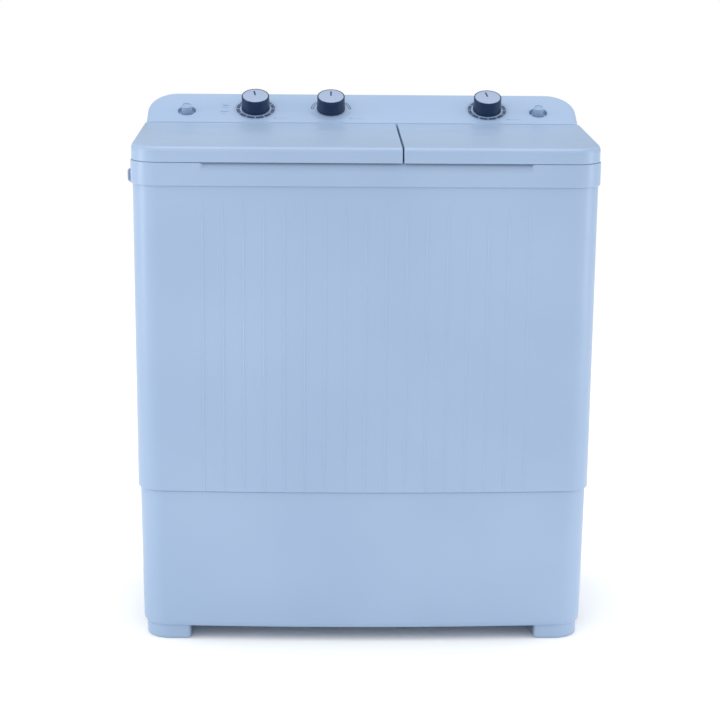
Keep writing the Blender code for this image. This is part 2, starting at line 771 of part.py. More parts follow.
def control_panel():
    shape = bmesh.new()

    def row(share, level, inset=0.0, front=PANEL_FRONT):
        half = PANEL_HALF_WIDTH + share * (PANEL_CREST_HALF_WIDTH - PANEL_HALF_WIDTH) - inset
        rear = PANEL_REAR + share * (PANEL_CREST - PANEL_REAR) - inset
        radii = [0.004, 0.004, PANEL_CORNER - inset, PANEL_CORNER - inset]
        front = front + inset * 0.3
        return ring(shape, rounded_rectangle(-half, half, front, rear, radii), level)

    def face(drop):
        return lambda x, y: panel_height(y) - drop

    rows = [row(0.0, DECK_TOP + GAP, front=PANEL_TOE), row(0.0, DECK_TOP + 0.010, front=PANEL_TOE),
            row(0.08, DECK_TOP + 0.016), row(1.0, face(PANEL_FILLET))]
    for step in (1, 2, 3):
        angle = math.radians(30 * step)
        drop = PANEL_FILLET * (1 - math.sin(angle))
        rows.append(row(1.0, face(drop), PANEL_FILLET * (1 - math.cos(angle))))
    skin(shape, rows)
    fill(shape, rows[-1])
    piece = solidify(add_piece("control_panel", shape, "blue_plastic"), PLASTIC_WALL)
    tilt = (PANEL_TILT, 0, 0)
    for x in DIALS.values():
        bore(piece, STEM_HOLE_RADIUS, 0.012, on_panel(x, DIAL_Y), tilt)
    for x in INLETS.values():
        bore(piece, INLET_CUP_RADIUS + 0.0015 + GAP, 0.012, on_panel(x, INLET_Y), tilt, ROUND_STEPS)


def knob(name, x):
    tilt = (PANEL_TILT, 0, 0)
    top = KNOB_HEIGHT
    seat = top - KNOB_RIM
    profile = [(0, seat), (KNOB_RADIUS - 0.0015, seat), (KNOB_RADIUS - 0.0015, top),
               (KNOB_RADIUS - 0.0006, top), (KNOB_RADIUS, top - 0.0008),
               (KNOB_FOOT_RADIUS, KNOB_LIFT), (KNOB_FOOT_RADIUS - 0.002, KNOB_LIFT),
               (KNOB_RADIUS - KNOB_SHELL, seat - KNOB_SHELL), (STEM_HUB_RADIUS, seat - KNOB_SHELL),
               (STEM_HUB_RADIUS, KNOB_LIFT + 0.002), (STEM_RADIUS, KNOB_LIFT + 0.002),
               (STEM_RADIUS, -STEM_DEPTH), (0, -STEM_DEPTH)]
    turned(name + "_knob", profile, on_panel(x, DIAL_Y), "navy_plastic", rotation=tilt)
    low = seat + GAP
    high = low + KNOB_CAP_THICKNESS
    edge = KNOB_RADIUS - 0.0015 - GAP
    cap = [(0, high), (edge - 0.0006, high), (edge, high - 0.0005), (edge, low), (0, low)]
    turned(name + "_cap", cap, on_panel(x, DIAL_Y), "pale_plastic", rotation=tilt)


def timer(name, x):
    tilt = (PANEL_TILT, 0, 0)
    size = (TIMER_SIZE, TIMER_SIZE, TIMER_HEIGHT)
    piece = box(name, size, on_panel(x, DIAL_Y, -TIMER_DROP - TIMER_HEIGHT / 2), "white_plastic",
                0.0015, tilt)
    depth = 2 * (STEM_DEPTH - TIMER_DROP + GAP)
    bore(piece, STEM_RADIUS + GAP, depth, on_panel(x, DIAL_Y, -TIMER_DROP), tilt, ROUND_STEPS)


def inlet(name, x):
    cup, tube_radius, bore_radius = INLET_CUP_RADIUS, INLET_TUBE_RADIUS, INLET_BORE_RADIUS
    outer = cup + 0.0015
    profile = [(bore_radius, INLET_RISE), (tube_radius, INLET_RISE), (tube_radius, -INLET_CUP_DEPTH),
               (cup, -INLET_CUP_DEPTH), (cup, 0.0012), (INLET_FLANGE_RADIUS, 0.0010),
               (INLET_FLANGE_RADIUS, GAP), (outer, GAP), (outer, -INLET_CUP_DEPTH - 0.002),
               (tube_radius, -INLET_CUP_DEPTH - 0.002), (tube_radius, -INLET_TAIL),
               (bore_radius, -INLET_TAIL)]
    turned(name, profile, on_panel(x, INLET_Y), "blue_plastic", ROUND_STEPS, True, (PANEL_TILT, 0, 0))


# Wash tub and its drive

def well_floor():
    return TUB_FLOOR - WELL_DEPTH


def platform_top():
    return well_floor() - PLASTIC_WALL - GAP


def wash_tub():
    shape = bmesh.new()
    top = DECK_TOP - FRAME_WALL - PLASTIC_WALL - GAP

    def row(inset, level):
        limits = (TUB_LEFT + inset, TUB_RIGHT - inset, TUB_FRONT + inset, TUB_REAR - inset)
        corner = max(TUB_CORNER - inset, 0.008)
        return ring(shape, rounded_rectangle(*limits, [corner] * 4), level)

    fillet = TUB_FLOOR_FILLET
    rows = [row(-TUB_FLANGE, top), row(0.0, top), row(0.0, TUB_FLOOR + fillet)]
    for step in (1, 2, 3):
        angle = math.radians(30 * step)
        rows.append(row(fillet * (1 - math.cos(angle)), TUB_FLOOR + fillet * (1 - math.sin(angle))))
    skin(shape, rows)
    well = circle(PULSATOR_X, PULSATOR_Y, WELL_RADIUS)
    well_rows = [ring(shape, well, TUB_FLOOR), ring(shape, well, well_floor())]
    skin(shape, well_rows)
    drain = ring(shape, circle(DRAIN_X, DRAIN_Y, DRAIN_HOLE_RADIUS, SMALL_ROUND_STEPS), TUB_FLOOR)
    fill(shape, rows[-1], [well_rows[0], drain])
    shaft_hole = ring(shape, circle(PULSATOR_X, PULSATOR_Y, BEARING_RADIUS + GAP), well_floor())
    fill(shape, well_rows[-1], [shaft_hole])
    solidify(add_piece("wash_tub", shape, "white_plastic"), PLASTIC_WALL)


def pulsator():
    centre = (PULSATOR_X, PULSATOR_Y, well_floor())
    rim = PULSATOR_RADIUS
    profile = [(0, PULSATOR_TOP), (0.022, PULSATOR_TOP - 0.002), (0.050, 0.030), (rim - 0.008, 0.020),
               (rim, 0.016), (rim, PULSATOR_LIFT), (0, PULSATOR_LIFT)]
    piece = turned("pulsator", profile, centre, "white_plastic")
    for number in range(PULSATOR_FINS):
        fin = box_shape((2 * rim - 0.030, 0.016, 0.018))
        turn = math.pi * number / PULSATOR_FINS
        place = (PULSATOR_X, PULSATOR_Y, well_floor() + 0.027)
        boolean(piece, helper(f"fin_{number}", fin, place, (0, 0, turn)), "UNION")
    depth = SHAFT_TOP + GAP - PULSATOR_LIFT
    bore(piece, SHAFT_RADIUS + GAP, 2 * depth, (PULSATOR_X, PULSATOR_Y, well_floor() + PULSATOR_LIFT))
    screw = [(0, 0.008), (0.008, 0.007), (0.012, 0.004), (0.012, 0), (0, 0)]
    top = (PULSATOR_X, PULSATOR_Y, well_floor() + PULSATOR_TOP + GAP)
    turned("pulsator_screw", screw, top, "stainless", SMALL_ROUND_STEPS)


def pulsator_drive():
    centre = (PULSATOR_X, PULSATOR_Y, 0)
    top = well_floor() + SHAFT_TOP
    bottom = BELT_LEVEL - PULLEY_HEIGHT / 2 - 0.004
    shaft = [(0, top), (SHAFT_RADIUS, top), (SHAFT_RADIUS, bottom), (0, bottom)]
    turned("pulsator_shaft", shaft, centre, "stainless", SMALL_ROUND_STEPS)
    low, high = platform_top() - BEARING_DROP, well_floor() + 0.006
    inner = SHAFT_RADIUS + GAP
    housing = [(inner, high), (BEARING_RADIUS, high), (BEARING_RADIUS, low), (inner, low)]
    turned("pulsator_bearing", housing, centre, "cast_alloy", ROUND_STEPS, ring=True)
    turned("large_pulley", pulley_profile(LARGE_PITCH_RADIUS, inner), centre, "cast_alloy", ring=True)


def groove_radius(pitch_radius):
    return pitch_radius - BELT_THICKNESS / 2 - GAP


def pulley_profile(pitch_radius, inner):
    """A grooved wheel round an inner radius."""
    rim = pitch_radius + BELT_THICKNESS / 2
    groove = groove_radius(pitch_radius)
    high, low = BELT_LEVEL + PULLEY_HEIGHT / 2, BELT_LEVEL - PULLEY_HEIGHT / 2
    upper, lower = high - PULLEY_FLANGE, low + PULLEY_FLANGE
    return [(inner, high), (rim, high), (rim, upper), (groove, upper), (groove, lower), (rim, lower),
            (rim, low), (inner, low)]


def motor_pulley():
    bottom = WASH_MOTOR_TOP - 0.020
    top = BELT_LEVEL + PULLEY_HEIGHT / 2
    radius = SHAFT_RADIUS - 0.001
    profile = [(0, top + 0.004), (radius, top + 0.004)] + pulley_profile(SMALL_PITCH_RADIUS, radius)
    profile += [(radius, bottom), (0, bottom)]
    turned("motor_pulley", profile, (PULSATOR_X, WASH_MOTOR_Y, 0), "cast_alloy", ROUND_STEPS)


def belt_outline():
    """The loop round both pulleys, at the belt's inner face."""
    distance = WASH_MOTOR_Y - PULSATOR_Y
    large = groove_radius(LARGE_PITCH_RADIUS) + GAP
    small = groove_radius(SMALL_PITCH_RADIUS) + GAP
    lean = math.asin((large - small) / distance)
    steps = 32
    outline = []
    for step in range(steps + 1):
        angle = math.pi - lean + (math.pi + 2 * lean) * step / steps
        outline.append((PULSATOR_X + large * math.cos(angle), PULSATOR_Y + large * math.sin(angle)))
    for step in range(steps // 2 + 1):
        angle = lean + (math.pi - 2 * lean) * step / (steps // 2)
        outline.append((PULSATOR_X + small * math.cos(angle), WASH_MOTOR_Y + small * math.sin(angle)))
    return outline


def drive_belt():
    shape = bmesh.new()
    rows = [ring(shape, belt_outline(), BELT_LEVEL - BELT_WIDTH / 2),
            ring(shape, belt_outline(), BELT_LEVEL + BELT_WIDTH / 2)]
    skin(shape, rows)
    solidify(add_piece("drive_belt", shape, "black_rubber"), BELT_THICKNESS, outward=True)


def wash_motor():
    low, high, radius = WASH_MOTOR_TOP - WASH_MOTOR_HEIGHT, WASH_MOTOR_TOP, WASH_MOTOR_RADIUS
    inner = SHAFT_RADIUS - 0.001 + GAP
    profile = [(0, high - 0.021), (inner, high - 0.021), (inner, high + 0.006), (0.016, high + 0.006),
               (0.018, high), (radius - 0.007, high), (radius, high - 0.007), (radius, low + 0.007),
               (radius - 0.007, low), (0, low)]
    turned("wash_motor", profile, (PULSATOR_X, WASH_MOTOR_Y, 0), "painted_steel", ROUND_STEPS)
    bracket()


def bracket():
    """A bent strip that hangs from the platform and carries the wash motor."""
    top = platform_top() - FRAME_WALL - GAP
    web = WASH_MOTOR_TOP - WASH_MOTOR_HEIGHT - GAP
    half, flange = BRACKET_HALF_WIDTH, BRACKET_HALF_WIDTH + BRACKET_FLANGE
    path = ((-flange, top), (-half, top), (-half, web), (half, web), (half, top), (flange, top))
    shape = bmesh.new()
    rows = [[shape.verts.new((PULSATOR_X + x, WASH_MOTOR_Y + y, level)) for x, level in path]
            for y in (-BRACKET_DEPTH / 2, BRACKET_DEPTH / 2)]
    for index in range(len(path) - 1):
        shape.faces.new((rows[0][index], rows[0][index + 1], rows[1][index + 1], rows[1][index]))
    solidify(add_piece("wash_motor_bracket", shape, "zinc_steel"), FRAME_WALL)


def tub_platform():
    """The plate that carries both tubs and rests on the base's lip."""
    shape = bmesh.new()
    outline = cabinet_outline(platform_top(), PLASTIC_WALL + 2 * GAP)
    rows = [ring(shape, outline, BASE_TOP + BASE_LIP + GAP), ring(shape, outline, platform_top())]
    skin(shape, rows)
    holes = [circle(PULSATOR_X, PULSATOR_Y, BEARING_RADIUS + GAP, ROUND_STEPS),
             circle(SPIN_X, SPIN_Y, PLATFORM_SPIN_HOLE_RADIUS, ROUND_STEPS),
             circle(DRAIN_X, DRAIN_Y, VALVE_RADIUS + VALVE_HOLE_CLEARANCE, ROUND_STEPS)]
    fill(shape, rows[-1], [ring(shape, hole, platform_top()) for hole in holes])
    solidify(add_piece("tub_platform", shape, "grey_plastic"), FRAME_WALL)


# Spin side

def spin_casing():
    radius, floor = CASING_RADIUS, CASING_FLOOR
    inner = radius - PLASTIC_WALL
    top = DECK_TOP - FRAME_WALL - GAP
    flange = radius + CASING_FLANGE
    hole = SEAL_RADIUS + GAP
    ring_radius = 0.100
    profile = [(hole, floor), (inner - 0.015, floor), (inner, floor + 0.0125), (inner, top),
               (flange, top), (flange, top - PLASTIC_WALL), (radius, top - PLASTIC_WALL),
               (radius, floor + 0.0105), (radius - 0.0155, floor - PLASTIC_WALL),
               (ring_radius, floor - PLASTIC_WALL), (ring_radius, platform_top() + GAP),
               (ring_radius - PLASTIC_WALL, platform_top() + GAP),
               (ring_radius - PLASTIC_WALL, floor - PLASTIC_WALL), (hole, floor - PLASTIC_WALL)]
    piece = turned("spin_casing", profile, (SPIN_X, SPIN_Y, 0), "white_plastic", ring=True)
    entry_x, entry_y = casing_entry()
    slant = math.atan2(entry_y - SPIN_Y, entry_x - SPIN_X)
    across = (0, math.pi / 2, slant)
    bore(piece, INLET_TUBE_RADIUS + 2 * GAP, 0.02, (entry_x, entry_y, HOSE_ENTRY_LEVEL), across)


def casing_entry():
    """Where the water hose meets the casing's wall."""
    to_x, to_y = INLETS["inlet_right"] - SPIN_X, inlet_deck_y() - SPIN_Y
    share = (CASING_RADIUS - PLASTIC_WALL) / math.hypot(to_x, to_y)
    return SPIN_X + share * to_x, SPIN_Y + share * to_y


def spin_inlet_hose():
    """From the right inlet's tail to the casing's wall, straight where it meets each of them."""
    x = INLETS["inlet_right"]
    tail, leaving, first_pull = (on_panel(x, INLET_Y, -INLET_TAIL - drop) for drop in (GAP, 0.008, 0.025))
    entry_x, entry_y = casing_entry()

    def outside(share):
        return (SPIN_X + share * (entry_x - SPIN_X), SPIN_Y + share * (entry_y - SPIN_Y), HOSE_ENTRY_LEVEL)

    points = bezier(leaving, first_pull, outside(1.30), outside(1.08), 7)
    tube("spin_inlet_hose", [tail] + points + [outside(1.0)], INLET_TUBE_RADIUS, 0.0015, "grey_plastic")


def spin_basket():
    wall, radius, floor, top = BASKET_WALL, BASKET_RADIUS, BASKET_FLOOR, BASKET_TOP
    inner = radius - wall
    ring_bottom = top - BALANCE_RING_HEIGHT
    bore_radius = SPIN_SHAFT_RADIUS + GAP
    profile = [(0, floor + 0.022), (0.018, floor + 0.022), (0.022, floor), (inner - 0.014, floor),
               (inner, floor + 0.012), (inner, ring_bottom - 0.006), (inner - 0.009, ring_bottom + 0.004),
               (inner - 0.009, top), (BALANCE_RING_RADIUS, top), (BALANCE_RING_RADIUS, ring_bottom),
               (radius, ring_bottom - 0.004), (radius, floor + 0.010), (radius - 0.014, floor - wall),
               (0.026, floor - wall), (0.024, floor - 0.0065), (bore_radius, floor - 0.0065),
               (bore_radius, floor + 0.0150), (0, floor + 0.0150)]
    piece = turned("spin_basket", profile, (SPIN_X, SPIN_Y, 0), "stainless", ROUND_STEPS)
    holes = bmesh.new()
    for level in (0.46, 0.60):
        for step in range(6):
            angle = 2 * math.pi * (step + 0.5) / 6
            made = bmesh.ops.create_cone(
                holes, cap_ends=True, segments=6, radius1=0.004, radius2=0.004, depth=0.02)["verts"]
            turn = Matrix.Rotation(angle, 4, "Z") @ Matrix.Rotation(math.pi / 2, 4, "Y")
            bmesh.ops.transform(holes, matrix=turn, verts=made)
            shift = (radius * math.cos(angle), radius * math.sin(angle), level)
            bmesh.ops.translate(holes, vec=shift, verts=made)
    boolean(piece, helper("basket_holes", holes, (SPIN_X, SPIN_Y, 0)))


def spin_press_cover():
    level = BASKET_TOP - BALANCE_RING_HEIGHT - 0.016
    edge = BASKET_RADIUS - BASKET_WALL - 0.0015
    profile = [(0, 0.012), (0.010, 0.012), (0.012, 0.0035), (edge - 0.002, 0.0035), (edge, 0.006),
               (edge, 0), (0, 0)]
    turned("spin_press_cover", profile, (SPIN_X, SPIN_Y, level), "white_plastic")


def spin_drive():
    centre = (SPIN_X, SPIN_Y, 0)
    high, low = DRUM_BOTTOM + DRUM_HEIGHT, DRUM_BOTTOM
    bore_radius = SPIN_SHAFT_RADIUS + GAP
    rotor = SHAFT_RADIUS
    drum = [(0, high - 0.012), (bore_radius, high - 0.012), (bore_radius, high + 0.006),
            (0.016, high + 0.006), (0.016, high), (DRUM_RADIUS, high), (DRUM_RADIUS, low), (0.016, low),
            (0.016, low - 0.008), (rotor, low - 0.008), (rotor, SPIN_MOTOR_TOP - 0.025),
            (0, SPIN_MOTOR_TOP - 0.025)]
    turned("brake_drum", drum, centre, "cast_alloy", ROUND_STEPS)
    top, bottom = BASKET_FLOOR + 0.0150 - GAP, high - 0.012 + GAP
    shaft = [(0, top), (SPIN_SHAFT_RADIUS, top), (SPIN_SHAFT_RADIUS, bottom), (0, bottom)]
    turned("spin_shaft", shaft, centre, "stainless", SMALL_ROUND_STEPS)


def bellows_seal():
    floor, outer = CASING_FLOOR, SEAL_RADIUS
    inner = SPIN_SHAFT_RADIUS + 0.001
    profile = [(outer + 0.0065, floor + 0.0026), (outer + 0.0065, floor + GAP), (outer, floor + GAP),
               (outer, floor - 0.0105), (0.016, floor - 0.0175), (0.016, floor - 0.0255),
               (inner, floor - 0.0255), (inner, floor - 0.0155), (outer - 0.0035, floor - 0.0075),
               (outer - 0.0035, floor + 0.0026)]
    turned("bellows_seal", profile, (SPIN_X, SPIN_Y, 0), "black_rubber", ROUND_STEPS, ring=True)


def spin_motor():
    bottom, top, radius = SPIN_MOTOR_BOTTOM, SPIN_MOTOR_TOP, SPIN_MOTOR_RADIUS
    flange = SPIN_MOTOR_FLANGE_RADIUS
    inner = SHAFT_RADIUS + GAP
    profile = [(0, top - 0.026), (inner, top - 0.026), (inner, top), (radius - 0.008, top),
               (radius, top - 0.008), (radius, bottom + 0.004), (flange, bottom + 0.004),
               (flange, bottom), (0, bottom)]
    turned("spin_motor", profile, (SPIN_X, SPIN_Y, 0), "painted_steel")
    floor = BASE_BOTTOM + FRAME_WALL + GAP
    height = bottom - GAP - floor
    waist = MOUNT_RADIUS - 0.004
    mount = [(0, height), (MOUNT_RADIUS, height), (waist, height / 2), (MOUNT_RADIUS, 0), (0, 0)]
    for number in (1, 2, 3):
        angle = math.radians(120 * number + 30)
        place = (SPIN_X + MOUNT_CIRCLE * math.cos(angle), SPIN_Y + MOUNT_CIRCLE * math.sin(angle), floor)
        turned(f"spin_motor_mount_{number}", mount, place, "black_rubber", SMALL_ROUND_STEPS)


def brake_arm():
    """The arm stands clear of the drum while the spin lid is shut, and turns onto it as it opens."""
    y = SPIN_Y - DRUM_RADIUS - BRAKE_CLEARANCE - BRAKE_ARM_THICKNESS / 2
    level = DRUM_BOTTOM + DRUM_HEIGHT / 2
    length = BRAKE_ARM_END - BRAKE_PIVOT_X
    shape = box_shape((length, BRAKE_ARM_THICKNESS, 0.016))
    bmesh.ops.translate(shape, vec=(length / 2, 0, 0), verts=shape.verts)
    piece = add_piece("brake_arm", shape, "zinc_steel", (BRAKE_PIVOT_X, y, level))
    foot_level = SPIN_MOTOR_BOTTOM + 0.004 + GAP
    top = level + 0.012
    post = rod_shape(BRAKE_POST_RADIUS + 0.002, top - foot_level)
    centre = (BRAKE_PIVOT_X, y, (top + foot_level) / 2)
    boolean(piece, helper("brake_post", post, centre), "UNION")


def spin_safety_cover():
    """The inner lid of the spin tub, hinged on its rear edge."""
    hinge = (SPIN_X, SPIN_Y + SAFETY_COVER_RADIUS + 0.003, DECK_TOP + 0.003)
    edge = SAFETY_COVER_RADIUS
    profile = [(0, 0.0016), (0.085, 0.0016), (0.088, 0.0040), (edge - 0.001, 0.0040), (edge, 0.0030),
               (edge, -0.0014), (edge - 0.002, -0.0014), (edge - 0.002, 0.0020), (0.089, 0.0020),
               (0.086, -0.0004), (0, -0.0004)]
    piece = turned("spin_safety_cover", profile, (SPIN_X, SPIN_Y, hinge[2]), "white_plastic")
    hang(piece, hinge)


def hang(piece, hinge):
    """Parents a piece to an empty on its hinge axis, with the piece where it was."""
    axis = bpy.data.objects.new(piece.name + "_hinge", None)
    axis.parent = WASHER
    axis.location = hinge
    PIECES.objects.link(axis)
    piece.parent = axis
    piece.location -= Vector(hinge)


# Drain, filter, hook, gland

def drain_valve():
    top = TUB_FLOOR - PLASTIC_WALL - GAP
    outer, inner = VALVE_RADIUS, VALVE_RADIUS - 0.0025
    hose = HOSE_RADIUS + GAP
    seat = VALVE_SEAT
    profile = [(inner, top), (outer, top), (outer, VALVE_BOTTOM), (hose, VALVE_BOTTOM),
               (hose, seat - 0.003), (0.009, seat - 0.003), (0.009, seat), (inner, seat)]
    turned("drain_valve", profile, (DRAIN_X, DRAIN_Y, 0), "grey_plastic", ROUND_STEPS, ring=True)
    plug = [(0, 0.018), (0.004, 0.018), (0.004, 0.008), (0.016, 0.006), (0.016, 0), (0, 0)]
    turned("drain_plug", plug, (DRAIN_X, DRAIN_Y, seat + GAP), "black_rubber", ROUND_STEPS)


def drain_hose():
    start = (DRAIN_X, DRAIN_Y, VALVE_SEAT - 0.003 - GAP)
    rear = cabinet_half_depth() - BASE_SETBACK + HOSE_OUT
    end = (DRAIN_X, rear, HOSE_OUT_LEVEL)
    points = bezier(start, (DRAIN_X, DRAIN_Y, 0.170), (DRAIN_X, DRAIN_Y, HOSE_OUT_LEVEL),
                    (DRAIN_X, rear - 0.040, HOSE_OUT_LEVEL), 9)
    tube("drain_hose", points + [end], HOSE_RADIUS, HOSE_WALL, "grey_plastic")


def lint_filter():
    thickness = 0.018
    centre = (PULSATOR_X, TUB_REAR - 0.0015 - thickness / 2, 0.640)
    box("lint_filter", (0.090, thickness, 0.150), centre, "pale_plastic", 0.004)


def hose_hook():
    """A J-shaped hook: a plate on the cabinet's side, an arm outwards and a lip up."""
    wall_x = -(BAND_WIDTH / 2 - FRAME_WALL) - GAP
    plate_top = BAND_BOTTOM - GAP - 0.0006
    outer_x = -BAND_WIDTH / 2 - HOOK_REACH
    t = HOOK_THICKNESS
    outline = [(wall_x, HOOK_BOTTOM), (wall_x, plate_top), (wall_x - t, plate_top),
               (wall_x - t, HOOK_BOTTOM + t), (outer_x + t, HOOK_BOTTOM + t), (outer_x + t, HOOK_TOP),
               (outer_x, HOOK_TOP), (outer_x, HOOK_BOTTOM)]
    curve = bpy.data.curves.new("hose_hook", "CURVE")
    curve.dimensions = "2D"
    curve.fill_mode = "BOTH"
    curve.extrude = HOOK_WIDTH / 2
    spline = curve.splines.new("POLY")
    spline.points.add(len(outline) - 1)
    for place, (x, level) in zip(spline.points, outline):
        place.co = (x, level, 0, 1)
    spline.use_cyclic_u = True
    curve.materials.append(MATERIALS["pale_plastic"])
    add_object("hose_hook", curve, (0, HOOK_Y, 0), (math.pi / 2, 0, 0), PIECES)


def cord_gland():
    """A rubber bush in the base's rear wall, with a bore for the mains lead."""
    rear = cabinet_half_depth() - BASE_SETBACK
    profile = [(0.004, 0.006), (0.010, 0.006), (GLAND_RADIUS + 0.005, 0.004),
               (GLAND_RADIUS + 0.005, GAP), (GLAND_RADIUS, GAP), (GLAND_RADIUS, -FRAME_WALL - 0.005),
               (0.004, -FRAME_WALL - 0.005)]
    turned("cord_gland", profile, (GLAND_X, rear, GLAND_LEVEL), "black_rubber", SMALL_ROUND_STEPS, True,
           (-math.pi / 2, 0, 0))


def build():
    base()
    for end_name, end in (("front", -1), ("rear", 1)):
        for side_name, side in (("left", -1), ("right", 1)):
            foot(f"foot_{end_name}_{side_name}", side, end)
    cabinet()
    rear_cover()
    cover_screws()
    top_frame()
    lid("wash_lid", -1, (1, 2))
    lid("spin_lid", 1, (3, 4))
    for number, x in HINGE_BLOCKS.items():
        hinge_block(number, x)
    control_panel()
    for name, x in DIALS.items():
        knob(name, x)
        timer(name, x)
    for name, x in INLETS.items():
        inlet(name, x)
    wash_tub()
    pulsator()
    pulsator_drive()
    motor_pulley()
    drive_belt()
    wash_motor()
    tub_platform()
    spin_casing()
    spin_inlet_hose()
    spin_basket()
    spin_press_cover()
    spin_drive()
    bellows_seal()
    spin_motor()
    brake_arm()
    spin_safety_cover()
    drain_valve()
    drain_hose()
    lint_filter()
    hose_hook()
    cord_gland()


build()
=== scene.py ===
"""Looks of the twin tub washer: its moulded shells, lids, panel, knobs, tubs and their finishes.

Sizes are in metres. Every shell is drawn from the middle of the cabinet, with the front towards -Y, and
then set down at MIDDLE, because the hose hook on the left moves the cabinet off the row's own centre.
"""

import json
import math

import bmesh
import bpy
from mathutils import Matrix, Vector


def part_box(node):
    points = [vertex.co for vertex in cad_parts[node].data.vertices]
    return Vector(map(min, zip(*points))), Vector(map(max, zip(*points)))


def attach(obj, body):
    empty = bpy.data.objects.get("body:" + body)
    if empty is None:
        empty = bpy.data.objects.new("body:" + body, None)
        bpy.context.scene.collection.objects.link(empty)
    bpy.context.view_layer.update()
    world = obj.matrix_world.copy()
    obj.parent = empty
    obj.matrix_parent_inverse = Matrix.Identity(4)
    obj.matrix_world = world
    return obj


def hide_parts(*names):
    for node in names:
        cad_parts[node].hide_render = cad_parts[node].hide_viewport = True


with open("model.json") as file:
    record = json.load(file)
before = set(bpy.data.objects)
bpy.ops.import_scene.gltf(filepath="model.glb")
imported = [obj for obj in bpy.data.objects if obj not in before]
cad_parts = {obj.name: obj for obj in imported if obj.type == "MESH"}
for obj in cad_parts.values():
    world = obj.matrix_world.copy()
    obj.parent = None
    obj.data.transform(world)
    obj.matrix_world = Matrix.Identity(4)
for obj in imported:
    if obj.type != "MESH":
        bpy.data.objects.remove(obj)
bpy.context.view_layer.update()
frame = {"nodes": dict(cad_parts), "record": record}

MIDDLE = (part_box("top_frame")[0].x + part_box("top_frame")[1].x) / 2

WALL = 0.0025                   # moulded shells
FRAME_WALL = 0.003              # top frame and base
GAP = 0.0004

# Levels above the floor
BASE_BOTTOM = 0.0255
BASE_TOP = 0.2755
CABINET_BOTTOM = 0.276
BAND_BOTTOM = 0.812
DECK_TOP = 0.8515
LID_FRONT_TOP = 0.878
LID_REAR_TOP = 0.889

# Plan of the shells
BAND_HALF_WIDTH = 0.4025
BAND_HALF_DEPTH = 0.2275
CABINET_HALF_DEPTH = 0.2241
CABINET_TOP_HALF_WIDTH = 0.3991
CABINET_BOTTOM_HALF_WIDTH = 0.39825
BASE_TOP_HALF_WIDTH = 0.3945
BASE_BOTTOM_HALF_WIDTH = 0.3915
BASE_HALF_DEPTH = 0.2211
CORNER = 0.050
FRONT_BOW = 0.011
REAR_EXITS = ((0.002, 0.070, 0.0112), (-0.250, 0.200, 0.0086))  # X, level, radius: hose, cord gland

# Ribs on the cabinet's front
RIBS = 17
RIB_PITCH = 0.0348
RIB_FIRST = -0.2784
RIB_HALF_WIDTH = 0.0016
RIB_HEIGHT = 0.0007
RIB_TOP = 0.786

# Finger recess under the lids' front edge
RECESS_LEFT = -0.283
RECESS_RIGHT = 0.285
RECESS_DEPTH = 0.006
RECESS_HEIGHT = 0.016
RECESS_END = 0.007

# Lids
LID_GAP = 0.0006
LID_SETBACK = 0.00175
LID_SPLIT = 0.0615
LID_SPLIT_GAP = 0.0022
LID_FRONT = -0.2285
LID_REAR = 0.085
LID_SKIRT_END = 0.0765
LID_REAR_SKIRT = 0.0135
LID_FILLET = 0.010
LID_SIDE_INSET = 0.0035
LID_SPLIT_INSET = 0.0012
LID_REAR_INSET = 0.007
LID_SMALL_CORNER = 0.0032
HINGE_Y = 0.0775
HINGE_Z = 0.8815
HINGE_BARREL = 0.0062
HINGE_BLOCKS = (-0.3725, 0.037, 0.087, 0.3725)
HINGE_POCKET_HALF = 0.0070

# Control panel
PANEL_FRONT = 0.0885
PANEL_TOE = 0.0815
PANEL_CREST = 0.1885
PANEL_REAR = 0.2262
PANEL_HALF_WIDTH = 0.4015
PANEL_CREST_HALF_WIDTH = 0.398
PANEL_TILT = math.radians(25.0)
PANEL_CORNER = 0.054
PANEL_FILLET = 0.008
DIAL_Y = 0.1336
DIALS = {"wash_timer": -0.1985, "drain_selector": -0.0585, "spin_timer": 0.2325}
POINTER_LEAN = {"wash_timer": 10.5, "drain_selector": 0.0, "spin_timer": 10.5}
INLET_Y = 0.125
INLETS = {"inlet_left": -0.3255, "inlet_right": 0.3275}
PRINT_LIFT = 0.00012

# Knobs
KNOB_RADIUS = 0.0255
KNOB_FOOT_RADIUS = 0.0265
KNOB_HEIGHT = 0.028
KNOB_RIM = 0.0012

# Tubs
TUB = (-0.352, 0.050, -0.200, 0.172)
TUB_CORNER = 0.030
TUB_FLOOR = 0.345
PULSATOR = (-0.151, -0.025)
WELL_RADIUS = 0.150
WELL_FLOOR = 0.328
OPENING_REAR = 0.064
OPENING_INSET = 0.014
SPIN = (0.225, -0.060)
SPIN_OPENING = 0.110
BASKET_RADIUS = 0.118
BASKET_FLOOR = 0.3855
BASKET_TOP = 0.716

# The camera, low and a little left of straight on
CAMERA_AZIMUTH = 1.4
CAMERA_DISTANCE = 3.43
CAMERA_HEIGHT = 1.23
CAMERA_PITCH = 12.63
CAMERA_ROLL = 0.5
CAMERA_LENS = 95.2
CAMERA_ASIDE = 0.0035           # its aim passes this far left of the cabinet's middle

CORNER_STEPS = 14
ROUND_STEPS = 72
FILLET_STEPS = 7


# Colours and materials

def linear(code):
    """sRGB hex to linear RGBA."""
    channels = [int(code[at:at + 2], 16) / 255 for at in (1, 3, 5)]
    return (*[c / 12.92 if c <= 0.04045 else ((c + 0.055) / 1.055) ** 2.4 for c in channels], 1.0)


def add_node(tree, kind, links=(), inputs=(), **settings):
    """A node of one kind, its settings, its fixed inputs, and (input, source output) links into it."""
    node = tree.nodes.new(kind)
    for name, value in settings.items():
        setattr(node, name, value)
    for socket, value in inputs:
        node.inputs[socket].default_value = value
    for socket, source in links:
        tree.links.new(source, node.inputs[socket])
    return node


